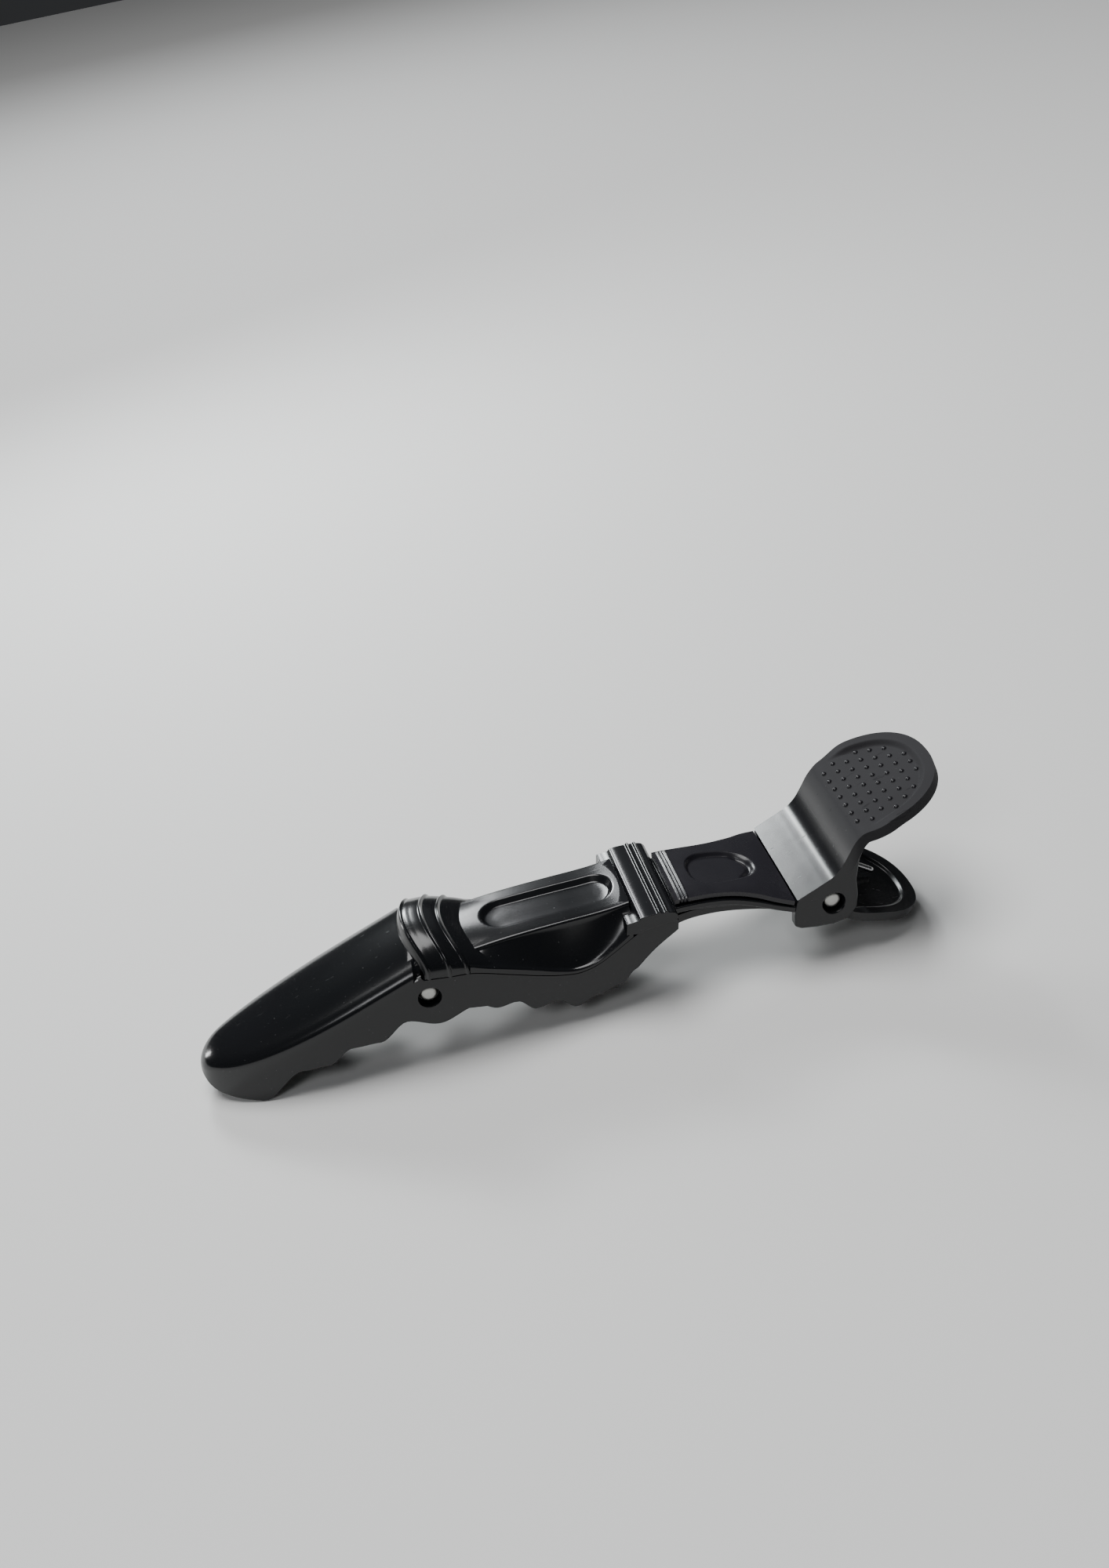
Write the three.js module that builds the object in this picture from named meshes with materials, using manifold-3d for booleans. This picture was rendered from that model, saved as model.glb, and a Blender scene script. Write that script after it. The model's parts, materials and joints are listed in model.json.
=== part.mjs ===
// A crocodile sectioning clip: two sprung levers on one hinge pin, with a front jaw that rocks
// on a second pin. Millimetres, +Z up, tip towards -X, thumb pads towards +X. Every outline is
// drawn in the side plane (x, z) with the hinge axis at x = z = 0, and the finished clip is then
// tipped until it stands on its tip and its lower pad, as it does on a table.
import * as THREE from 'three';
import { mergeVertices } from 'three/addons/utils/BufferGeometryUtils.js';
import Module from 'manifold-3d';

const wasm = await Module();
wasm.setup();

// ---------------------------------------------------------------- driving dimensions

const frontPinX = -63.5; // main hinge axis to front pin axis
const frontPinZ = -9.1;
const snoutReach = 35.3; // front pin to the tip
const snoutDroop = THREE.MathUtils.degToRad(29.3); // slope of the snout's back
const snoutTopAtPin = 8; // crown of the snout above the front pin
const snoutCrown = 3.2; // height of the rounded back over its edges

const jawHalfWidth = 9.5; // outside of the toothed side walls
const jawWall = 1.3;
const jawRoof = 1.5;
const innerTeeth = 4; // on each half of the lower jaw
const innerToothDepth = 0.9;
// Tips and notches of the outer teeth, from the nose back. On the snout: how far ahead of the
// front pin, as a share of the snout's reach, and how deep below its back.
const snoutMarks = [[0.75, 10.2], [0.56, 8.1], [0.455, 9.7], [0.343, 8.9], [0.224, 10.8], [0.1, 9.9]];
// Behind the pin: how far back, as a share of the way to the jowl, and how deep below the pin.
const bodyMarks = [
  [0.04, 5.1], [0.245, 2.6], [0.345, 3.6], [0.445, 2.9], [0.54, 4.7], [0.66, 3.7],
  [0.75, 5.3], [0.9, 3], [0.985, 2.2], [1.066, -0.4],
];
const tieRise = 1.4; // underside of the tie bar above the front pin's axis
const tieLength = 4;

const coverHalfWidth = jawHalfWidth + 0.2; // outside of the cover's flange
const coverTopHalfWidth = 6.6;
const coverFrontX = frontPinX + 6.1;
const coverRearX = -31.8;
const coverFrontZ = -2.6; // crown of the raised face at its two ends
const coverRearZ = 1.7;
const coverWall = 1.5;
const coverLedgeDrop = 4.4; // raised face down to the flange's ledge
const recessHalfWidth = 3.9;
const recessDepth = 0.9;
const recessMargin = 2.9; // end of the raised face to the recess

const collarLength = 8.6;
const collarBulge = 2.8; // how far the collar's front edge bows towards the tip
const collarTopZ = -0.4;
const collarWall = 1;
const collarDrop = 4.9; // crown of the collar down to its shoulders
const ribWidth = 0.8;
const ribHeight = 0.35;

const barX = -27.3;
const barLength = 4.6;
const barHalfWidth = jawHalfWidth + 0.8;
const barTopZ = 1.7;
const barDepth = 4;
const barEndHeight = 1.9; // top of the bar down to the jaw's wall at its ends

const strapThickness = 1;
const strapFrontHalfWidth = jawHalfWidth - 2.3;
const armThickness = 1.1;
const armRibDepth = 1.1;

const panelHalfWidth = 11;
const strapRearHalfWidth = panelHalfWidth - 0.4;
const panelFront = [-6.1, 1.4];
const panelRear = [0, 5.2];
const padStart = [2.6, 11.4]; // where the neck meets the thumb pad's face
const padEnd = [17.7, 18.9];
const padHalfWidth = panelHalfWidth + 1.2;
const padThickness = 2;
const padRim = 0.7;
const padRimWidth = 1.6;

const lugThickness = 2;
const lowerLugThickness = 1.7;
const lowerLugRing = 1.3; // plastic round the lower lug's bore
const lugRadius = 4;

const lowerPadStart = [3.4, -2.6];
const lowerPadEnd = [17.4, -5.8];
const lowerPadHalfWidth = 11.2;
const archTopZ = -1.6; // bridge of the lower lever under the arm
const archDepth = 1.7;
const archHalfWidth = 5.2;
const lowerWall = 1.3;
const neckUnder = -4.9; // underside of the lower jaw at the front pin, from the pin's axis
const chinDepth = 6.2; // the same at the tip, below the snout's back

const pinRadius = 1.4;
const boreClearance = 0.1;
const pinRecess = 0.7; // pin end below the outer face
const counterboreRadius = 1.9;
const bossRadius = 2.3;
const bossThickness = 1.9;

const wireRadius = 0.5;
const coilClearance = 0.55; // pin surface to the inside of the coil
const coilTurns = 4;

const seam = 0.3; // gap where two pieces meet
const sideClearance = 0.5; // lower jaw to the front jaw's walls
const mouthGap = 0.6; // jaw roof to the lower jaw's teeth

const strapRise = 0.45; // middle of the strap above its ends
const armRibThickness = 1.1;
const wireGap = 0.15; // between the coil's turns
const upperLegLength = 6; // coil to the bend
const lowerLegLength = 5.5;

const roundSegments = 32;
const farAway = 200; // beyond the clip in any direction

// ---------------------------------------------------------------- solids

const toSolid = (geometry) => {
  const bare = geometry.clone();
  bare.deleteAttribute('normal');
  bare.deleteAttribute('uv');
  const merged = mergeVertices(bare, 1e-4);
  const vertProperties = new Float32Array(merged.attributes.position.array);
  const triVerts = new Uint32Array(merged.index.array);
  return new wasm.Manifold(new wasm.Mesh({ numProp: 3, vertProperties, triVerts }));
};

const toGeometry = (solid) => {
  const mesh = solid.getMesh();
  const geometry = new THREE.BufferGeometry();
  geometry.setAttribute('position', new THREE.BufferAttribute(mesh.vertProperties, 3));
  geometry.setIndex(new THREE.BufferAttribute(mesh.triVerts, 1));
  geometry.computeVertexNormals();
  return geometry;
};

const join = (...solids) => solids.reduce((all, next) => all.add(next));

const extrude = (points, depth) => {
  const shape = new THREE.Shape(points.map(([a, b]) => new THREE.Vector2(a, b)));
  return new THREE.ExtrudeGeometry(shape, { depth, bevelEnabled: false });
};

// A side outline in (x, z), carried across the clip from one y to another.
const between = (points, low, high) => {
  const geometry = extrude(points, high - low);
  geometry.rotateX(Math.PI / 2);
  geometry.translate(0, high, 0);
  return toSolid(geometry);
};

const across = (points, half) => between(points, -half, half);

// The same outline on both sides, between two distances from the middle plane.
const bothSides = (points, inner, outer) => (
  between(points, inner, outer).add(between(points, -outer, -inner))
);

// A plan outline in (x, y), far taller than the clip.
const planCut = (points) => {
  const geometry = extrude(points, 2 * farAway);
  geometry.translate(0, 0, -farAway);
  return toSolid(geometry);
};

// A cross-section in (y, z), carried along x from x0 to x1, then pitched about the y axis and
// lifted: a positive pitch lowers its -X end.
const lengthwise = (points, x0, x1, pitch = 0, x = 0, z = 0) => {
  const geometry = extrude(points, x1 - x0);
  geometry.rotateX(Math.PI / 2);
  geometry.rotateZ(Math.PI / 2);
  geometry.translate(x0, 0, 0);
  geometry.rotateY(-pitch);
  geometry.translate(x, 0, z);
  return toSolid(geometry);
};

// A round bar across the clip.
const crossBar = ([x, z], radius, half) => {
  const geometry = new THREE.CylinderGeometry(radius, radius, 2 * half, roundSegments);
  geometry.translate(x, 0, z);
  return toSolid(geometry);
};

const disc = ([x, z], radius, steps = 24) => Array.from({ length: steps }, (_, i) => {
  const angle = 2 * Math.PI * (i / steps);
  return [x + radius * Math.cos(angle), z + radius * Math.sin(angle)];
});

// A shallow arch over a width: flat in the middle and falling by drop towards both ends.
const arch = (half, top, drop, steps = 16) => Array.from({ length: steps + 1 }, (_, i) => {
  const share = 2 * (i / steps) - 1;
  return [half * share, top - drop * (1 - Math.sqrt(1 - 0.96 * share ** 2)) / 0.8];
});

// An arched section closed off below its ends.
const archSection = (half, top, drop, depth) => [
  ...arch(half, top, drop),
  [half, top - drop - depth],
  [-half, top - drop - depth],
];

// A plan outline from x0 to x1 with straight sides that closes in a rounded end at x1.
const roundedEnd = (x0, x1, half, endLength, power = 2.2, steps = 14) => {
  const inward = Math.sign(x0 - x1);
  const side = Array.from({ length: steps + 1 }, (_, i) => {
    const angle = (Math.PI / 2) * (i / steps);
    const reach = Math.sin(angle) ** (2 / power);
    return [x1 + inward * endLength * (1 - reach), half * Math.cos(angle) ** (2 / power)];
  });
  const near = [[x0, half], ...side.slice(0, -1), [x1, 0]];
  return [...near, ...near.slice(0, -1).reverse().map(([x, y]) => [x, -y])];
};

// Rounded teeth that hang below the straight line from a to b.
const toothed = (a, b, count, depth, steps = 8) => Array.from({ length: count * steps + 1 }, (_, i) => {
  const t = i / (count * steps);
  const swell = 0.5 - 0.5 * Math.cos(2 * Math.PI * count * t);
  return [a[0] + (b[0] - a[0]) * t, a[1] + (b[1] - a[1]) * t - depth * Math.max(swell, 0) ** 0.7];
});

// A wavy line that is level at each mark, with a cosine step from one mark to the next.
const waved = (marks, steps = 5) => marks.slice(1).flatMap(([x1, z1], k) => {
  const [x0, z0] = marks[k];
  return Array.from({ length: steps }, (_, i) => {
    const t = (i + 1) / steps;
    return [x0 + (x1 - x0) * t, z0 + (z1 - z0) * (0.5 - 0.5 * Math.cos(Math.PI * t))];
  });
});

// A smooth curve through a few points of the side plane.
const smooth = (points, steps) => new THREE.SplineCurve(
  points.map(([a, b]) => new THREE.Vector2(a, b)),
).getPoints(steps).map((p) => [p.x, p.y]);

// Rise of a pad's face for each millimetre along x.
const padRise = (start, end) => (end[1] - start[1]) / (end[0] - start[0]);

const shifted = (points, dx, dz) => points.map(([x, z]) => [x + dx, z + dz]);

// ---------------------------------------------------------------- shared lines of the side view

const hinge = [0, 0];
const frontPivot = [frontPinX, frontPinZ];
const tipX = frontPinX - snoutReach;
const snoutTop = (x) => frontPinZ + snoutTopAtPin + (x - frontPinX) * Math.tan(snoutDroop);
const bodyLength = coverRearX - coverFrontX;
const coverSlope = Math.atan2(coverRearZ - coverFrontZ, bodyLength);
const coverTop = (x) => coverFrontZ + (x - coverFrontX) * Math.tan(coverSlope);
const barRearX = barX + barLength / 2;
const barFrontX = barX - barLength / 2;
const boreRadius = pinRadius + boreClearance;
const jawInner = jawHalfWidth - jawWall;

// Where the cover's flange meets the jaw's side wall, from the front pin to the bar.
const partingLine = smooth([
  [frontPinX - 3, frontPinZ + 3.6],
  [coverFrontX, frontPinZ + 3.4],
  [coverFrontX + 0.45 * bodyLength, frontPinZ + 1.6],
  [coverFrontX + 0.72 * bodyLength, frontPinZ + 1.4],
  [coverRearX - 3, frontPinZ + 4.3],
  [barFrontX, barTopZ - barEndHeight - 1],
  [barRearX, barTopZ - barEndHeight],
], 24);

const jowlX = coverRearX - 1.2;
const teethMarks = [
  ...snoutMarks.map(([share, depth]) => {
    const x = frontPinX - share * snoutReach;
    return [x, snoutTop(x) - depth];
  }),
  ...bodyMarks.map(([share, depth]) => [frontPinX + share * (jowlX - frontPinX), frontPinZ - depth]),
];
const skirtTeeth = [teethMarks[0], ...waved(teethMarks)];
const noseTopZ = snoutTop(tipX);
const skirtRearTop = [barRearX + 0.4, barTopZ - barEndHeight - seam];

// ---------------------------------------------------------------- front jaw

const makeFrontJaw = () => {
  const nose = smooth([
    [tipX + 0.6, snoutTop(tipX + 0.6)],
    [tipX, noseTopZ - 2],
    [tipX + 1.6, noseTopZ - 4],
    [tipX + 4.4, noseTopZ - 5.1],
    skirtTeeth[0],
  ], 12);
  const collarSeatX = frontPinX - 1.2;
  const side = [
    ...nose,
    ...skirtTeeth.slice(1),
    skirtRearTop,
    ...shifted(partingLine.toReversed(), 0, -seam),
    [collarSeatX, snoutTop(collarSeatX) - snoutCrown],
    [collarSeatX - 1, snoutTop(collarSeatX - 1) + 0.01],
  ];
  const plan = roundedEnd(barRearX + 2, tipX, jawHalfWidth, 0.72 * snoutReach);
  const innerPlan = roundedEnd(barRearX + 3, tipX + jawWall + 0.4, jawInner, 0.7 * snoutReach);
  // the rounded back runs down the slope of the snout
  const section = archSection(jawHalfWidth + seam, 0, snoutCrown, farAway);
  const back = lengthwise(section, -2 * snoutReach, 0, snoutDroop, frontPinX, frontPinZ + snoutTopAtPin);
  const behind = (x) => across([
    [x, -farAway], [farAway, -farAway], [farAway, farAway], [x, farAway],
  ], farAway);
  const outer = across(side, jawHalfWidth)
    .intersect(planCut(plan))
    .intersect(back.add(behind(frontPinX - 0.5)));
  // the hollow that the lower jaw closes into
  const roofEndX = frontPinX - 1.3;
  const hollow = across([
    [tipX - 1, snoutTop(tipX - 1) - jawRoof - 0.7],
    [tipX - 1, -farAway],
    [farAway, -farAway],
    [farAway, farAway],
    [roofEndX, farAway],
    [roofEndX, snoutTop(roofEndX) - jawRoof - 0.7],
  ], jawInner).intersect(planCut(innerPlan));
  const hollowSection = archSection(jawInner, -jawRoof, snoutCrown - 0.9, farAway);
  const rounded = lengthwise(
    hollowSection, -2 * snoutReach, 0, snoutDroop, frontPinX, frontPinZ + snoutTopAtPin,
  );
  // the bar that ties the side walls together behind the pin, high enough to clear the lower
  // jaw when the front jaw rocks
  const tie = across([
    [coverFrontX + 0.6, frontPinZ + tieRise],
    [coverFrontX + 0.6 + tieLength, frontPinZ + tieRise],
    [coverFrontX + 0.6 + tieLength, frontPinZ + tieRise + jawWall],
    [coverFrontX + 0.6, frontPinZ + tieRise + jawWall],
  ], jawInner + 0.1);
  const pinBore = crossBar(frontPivot, boreRadius, 2 * jawHalfWidth);
  const counterbore = crossBar(frontPivot, counterboreRadius, 2 * jawHalfWidth)
    .subtract(crossBar(frontPivot, counterboreRadius + 1, jawHalfWidth - pinRecess));
  return outer
    .subtract(hollow.intersect(rounded.add(behind(roofEndX))))
    .add(tie)
    .subtract(pinBore)
    .subtract(counterbore);
};

// ---------------------------------------------------------------- upper lever

const collarRearX = coverFrontX + 0.6;
const collarFrontX = collarRearX - collarLength;

// The bowed plan line of the collar's front edge, moved back by an offset.
const bow = (offset, half, steps = 14) => Array.from({ length: steps + 1 }, (_, i) => {
  const y = half * (2 * (i / steps) - 1);
  return [collarFrontX + offset + collarBulge * (y / half) ** 2, y];
});

const makeCollar = () => {
  const skirt = 0.5;
  const inside = lengthwise(
    archSection(coverHalfWidth - coverWall, collarTopZ - collarWall, collarDrop - 0.6, farAway),
    collarFrontX - 2, collarRearX + 1,
  );
  const blank = lengthwise(
    archSection(coverHalfWidth, collarTopZ, collarDrop, skirt), collarFrontX - 1, collarRearX,
  );
  const plan = planCut([
    ...bow(0, coverHalfWidth + seam),
    [collarRearX, coverHalfWidth + seam],
    [collarRearX, -coverHalfWidth - seam],
  ]);
  const raised = lengthwise(
    archSection(coverHalfWidth + 0.15, collarTopZ + ribHeight, collarDrop, skirt / 2),
    collarFrontX - 1, collarRearX + 4,
  );
  const ribs = [0.2, 3.1, 5.9].map((offset) => raised.intersect(planCut([
    ...bow(offset, coverHalfWidth + seam),
    ...bow(offset + ribWidth, coverHalfWidth + seam).toReversed(),
  ])));
  const edge = partingLine.filter(([x]) => x < coverFrontX + 2);
  const above = across([...edge, [edge.at(-1)[0], farAway], [edge[0][0], farAway]], farAway);
  return join(blank.intersect(plan), ...ribs).subtract(inside).intersect(above);
};

// The long shallow recess with round ends in the raised face.
const makeRecess = () => {
  const ends = [[coverRearX - recessMargin + 0.9, 1], [coverFrontX + recessMargin, -1]];
  const points = ends.flatMap(([x, side]) => Array.from({ length: 13 }, (_, i) => {
    const angle = Math.PI * (i / 12 - 0.5);
    return [
      x + side * recessHalfWidth * (Math.cos(angle) - 1),
      side * recessHalfWidth * Math.sin(angle),
    ];
  }));
  const above = across([
    [coverFrontX, coverTop(coverFrontX) - recessDepth],
    [coverRearX, coverTop(coverRearX) - recessDepth],
    [coverRearX, farAway],
    [coverFrontX, farAway],
  ], coverHalfWidth);
  return planCut(points).intersect(above);
};

const makeCover = () => {
  const foot = coverTopHalfWidth + 0.6;
  const halfSection = [
    [coverHalfWidth, -farAway],
    [coverHalfWidth, -coverLedgeDrop - 0.5],
    [coverHalfWidth - 0.5, -coverLedgeDrop],
    [foot + 0.8, -coverLedgeDrop + 0.4],
    [foot, -coverLedgeDrop + 1.6],
    [coverTopHalfWidth, -0.5],
    [coverTopHalfWidth - 0.6, -0.1],
  ];
  const section = [...halfSection, [0, 0.25], ...halfSection.toReversed().map(([y, z]) => [-y, z])];
  const body = lengthwise(section, -2, bodyLength + 4, coverSlope, coverFrontX, coverFrontZ);
  const edge = partingLine.filter(([x]) => x > coverFrontX - 1);
  const side = across([...edge, [barRearX, farAway], [edge[0][0], farAway]], 2 * coverHalfWidth);
  const span = across([
    [coverFrontX - 0.6, -farAway],
    [coverRearX, -farAway],
    [coverRearX, farAway],
    [coverFrontX - 0.6, farAway],
  ], 2 * coverHalfWidth);
  const hollow = (half, depth, rearX) => across([
    [coverFrontX - 3, -farAway],
    [rearX, -farAway],
    [rearX, coverTop(rearX) - depth],
    [coverFrontX - 3, coverTop(coverFrontX - 3) - depth],
  ], half);
  return body.intersect(side).intersect(span)
    .subtract(hollow(coverTopHalfWidth - 1.1, recessDepth + coverWall, coverRearX - coverWall))
    .subtract(hollow(coverHalfWidth - coverWall, coverLedgeDrop + coverWall, coverRearX - 3 * coverWall))
    .subtract(makeRecess());
};

// Two ears inside the jaw's side walls that carry the front pin.
const earOuter = jawInner - seam;
const earInner = earOuter - bossThickness;
const makeEars = () => {
  const ear = [
    [frontPinX + 0.2, frontPinZ],
    [frontPinX + 0.2, collarTopZ - collarDrop + 0.6],
    [frontPinX + bossRadius, collarTopZ - collarDrop + 0.6],
    [frontPinX + bossRadius, frontPinZ],
  ];
  return bothSides(ear, earInner, earOuter)
    .add(bothSides(disc(frontPivot, bossRadius), earInner, earOuter))
    .subtract(crossBar(frontPivot, boreRadius, jawHalfWidth));
};

const barBottomZ = barTopZ - barDepth;
const makeBar = () => {
  const ridge = (x) => [[x - 0.7, barTopZ - 0.5], [x, barTopZ + ribHeight], [x + 0.7, barTopZ - 0.5]];
  const profile = [
    [coverRearX - 1.4, barBottomZ + 0.6],
    [barFrontX, barBottomZ],
    [barRearX, barBottomZ + 2],
    [barRearX, barTopZ - 0.6],
    ...ridge(barX + 0.75).toReversed(),
    ...ridge(barX - 0.75).toReversed(),
    [barFrontX, barTopZ - 0.9],
    [coverRearX - 0.2, barTopZ - 1.3],
    [coverRearX - 1.4, barTopZ - 1.3],
  ];
  const edge = partingLine.filter(([x]) => x > coverRearX - 4);
  const above = across([...edge, [barRearX + 1, farAway], [edge[0][0], farAway]], farAway);
  return across(profile, barHalfWidth).intersect(above);
};

// The curved line of the arm's top, which the strap lies on.
const armTop = smooth([
  [barRearX - 1, barTopZ - strapThickness - seam],
  [(barRearX + panelFront[0]) / 2, barTopZ + strapRise - strapThickness - seam],
  [panelFront[0] + 1, panelFront[1] - strapThickness - seam],
], 10);

// A plan outline that widens smoothly from a front to a rear half width.
const flare = (frontX, rearX, frontHalf, rearHalf) => {
  const side = smooth([
    [frontX, frontHalf],
    [frontX + 0.5 * (rearX - frontX), frontHalf + 0.08 * (rearHalf - frontHalf)],
    [frontX + 0.8 * (rearX - frontX), frontHalf + 0.5 * (rearHalf - frontHalf)],
    [rearX, rearHalf],
  ], 12);
  return [...side, ...side.toReversed().map(([x, y]) => [x, -y])];
};

const makeArm = () => {
  const plan = flare(barRearX - 1, panelFront[0] + 1, strapFrontHalfWidth + 0.4, strapRearHalfWidth);
  const plate = across([...armTop, ...shifted(armTop.toReversed(), 0, -armThickness)], farAway)
    .intersect(planCut(plan));
  const ribs = bothSides(
    [...armTop, ...shifted(armTop.toReversed(), 0, -armThickness - armRibDepth)],
    archHalfWidth + seam, archHalfWidth + seam + armRibThickness,
  );
  return plate.add(ribs);
};

// ---- thumb pads: an inclined plate with a raised rim round its free end

const padPlate = (start, end, half, neckHalf, thickness, rimSide) => {
  const slope = Math.atan2(end[1] - start[1], end[0] - start[0]);
  const normal = [-Math.sin(slope) * rimSide, Math.cos(slope) * rimSide];
  const off = ([x, z], distance) => [x + normal[0] * distance, z + normal[1] * distance];
  const reach = end[0] - start[0];
  const past = [start[0] + 1.3 * reach, start[1] + 1.3 * (end[1] - start[1])];
  const slab = (low, high, from) => across([
    off(from, low), off(past, low), off(past, high), off(from, high),
  ], 2 * half);
  const outside = (inset) => {
    const rounded = roundedEnd(
      start[0] + 0.2 * reach, end[0] - inset, half - inset, 0.8 * reach - inset, 2.3,
    );
    return planCut(rounded).add(planCut([
      [start[0] - 0.5, neckHalf - inset],
      [start[0] + 0.25 * reach, half - inset],
      [start[0] + 0.25 * reach, -half + inset],
      [start[0] - 0.5, -neckHalf + inset],
    ]));
  };
  const rimFrom = [start[0] + 0.35 * (end[0] - start[0]), start[1] + 0.35 * (end[1] - start[1])];
  const plate = slab(-thickness, 0, start).intersect(outside(0));
  const rim = slab(-thickness / 2, padRim, rimFrom).intersect(outside(0)).subtract(outside(padRimWidth));
  return plate.add(rim);
};

const makeUpperHandle = () => {
  const padFoot = [padStart[0] + 1.4, padStart[1] - padThickness + 0.9];
  const neck = [
    panelFront,
    panelRear,
    [panelRear[0] + 1.3, panelRear[1] + 2.4],
    padStart,
    padFoot,
    [padFoot[0] - 0.9, padFoot[1] - 2.8],
    [panelRear[0] + 0.75, panelRear[1] - 1],
    [panelFront[0] + 0.7, panelFront[1] - 0.95],
  ];
  const lug = [
    [panelFront[0], panelFront[1] - 0.3],
    [panelFront[0] - 0.1, -2.2],
    [panelFront[0] + 1, -lugRadius],
    [0.5, -lugRadius],
    [2.9, -lugRadius + 1.2],
    [lugRadius, 0],
    [lugRadius, 4],
    padFoot,
    [panelRear[0] + 1.2, panelRear[1] + 1],
    [panelRear[0], panelRear[1] - 0.2],
  ];
  const pinHead = crossBar(hinge, counterboreRadius, 2 * panelHalfWidth)
    .subtract(crossBar(hinge, counterboreRadius + 1, panelHalfWidth - pinRecess));
  return join(
    across(neck, panelHalfWidth),
    bothSides(lug, panelHalfWidth - lugThickness, panelHalfWidth),
    padPlate(padStart, padEnd, padHalfWidth, panelHalfWidth, padThickness, 1),
  ).subtract(crossBar(hinge, boreRadius, 2 * panelHalfWidth)).subtract(pinHead);
};

const makeUpperLever = () => join(
  makeCollar(),
  makeCover(),
  makeEars(),
  makeBar(),
  makeArm(),
  makeUpperHandle(),
);

// ---------------------------------------------------------------- strap

const strapTop = smooth([
  [barRearX + seam, barTopZ],
  [(barRearX + panelFront[0]) / 2, barTopZ + strapRise],
  [panelFront[0] - seam, panelFront[1]],
], 12);

const makeStrap = () => {
  const plan = flare(strapTop[0][0], strapTop.at(-1)[0], strapFrontHalfWidth, strapRearHalfWidth);
  const band = across([...strapTop, ...shifted(strapTop.toReversed(), 0, -strapThickness)], farAway);
  const ridges = [0.8, 1.7, 2.6].map((offset) => across(
    disc([strapTop[0][0] + offset, barTopZ - 0.05], 0.4, 10), strapFrontHalfWidth - 0.4,
  ));
  return join(band.intersect(planCut(plan)), ...ridges);
};

// ---------------------------------------------------------------- lower lever

const lowerLugOuter = panelHalfWidth - lugThickness - seam;
const lowerLugInner = lowerLugOuter - lowerLugThickness;
const lowerJawHalf = jawInner - sideClearance;
const coilRadius = pinRadius + coilClearance + wireRadius;
const coilOutside = coilRadius + wireRadius;
const floorTopZ = -coilOutside - seam;

// The lower jaw's underside: at a depth below the snout's back that grows towards the front pin,
// then level behind the pin.
const undersideZ = (x) => {
  const ahead = Math.max(frontPinX - x, 0) / snoutReach;
  const depth = (1 - ahead) * (snoutTopAtPin - neckUnder) + ahead * chinDepth;
  return ahead > 0 ? snoutTop(x) - depth : frontPinZ + neckUnder;
};

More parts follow.
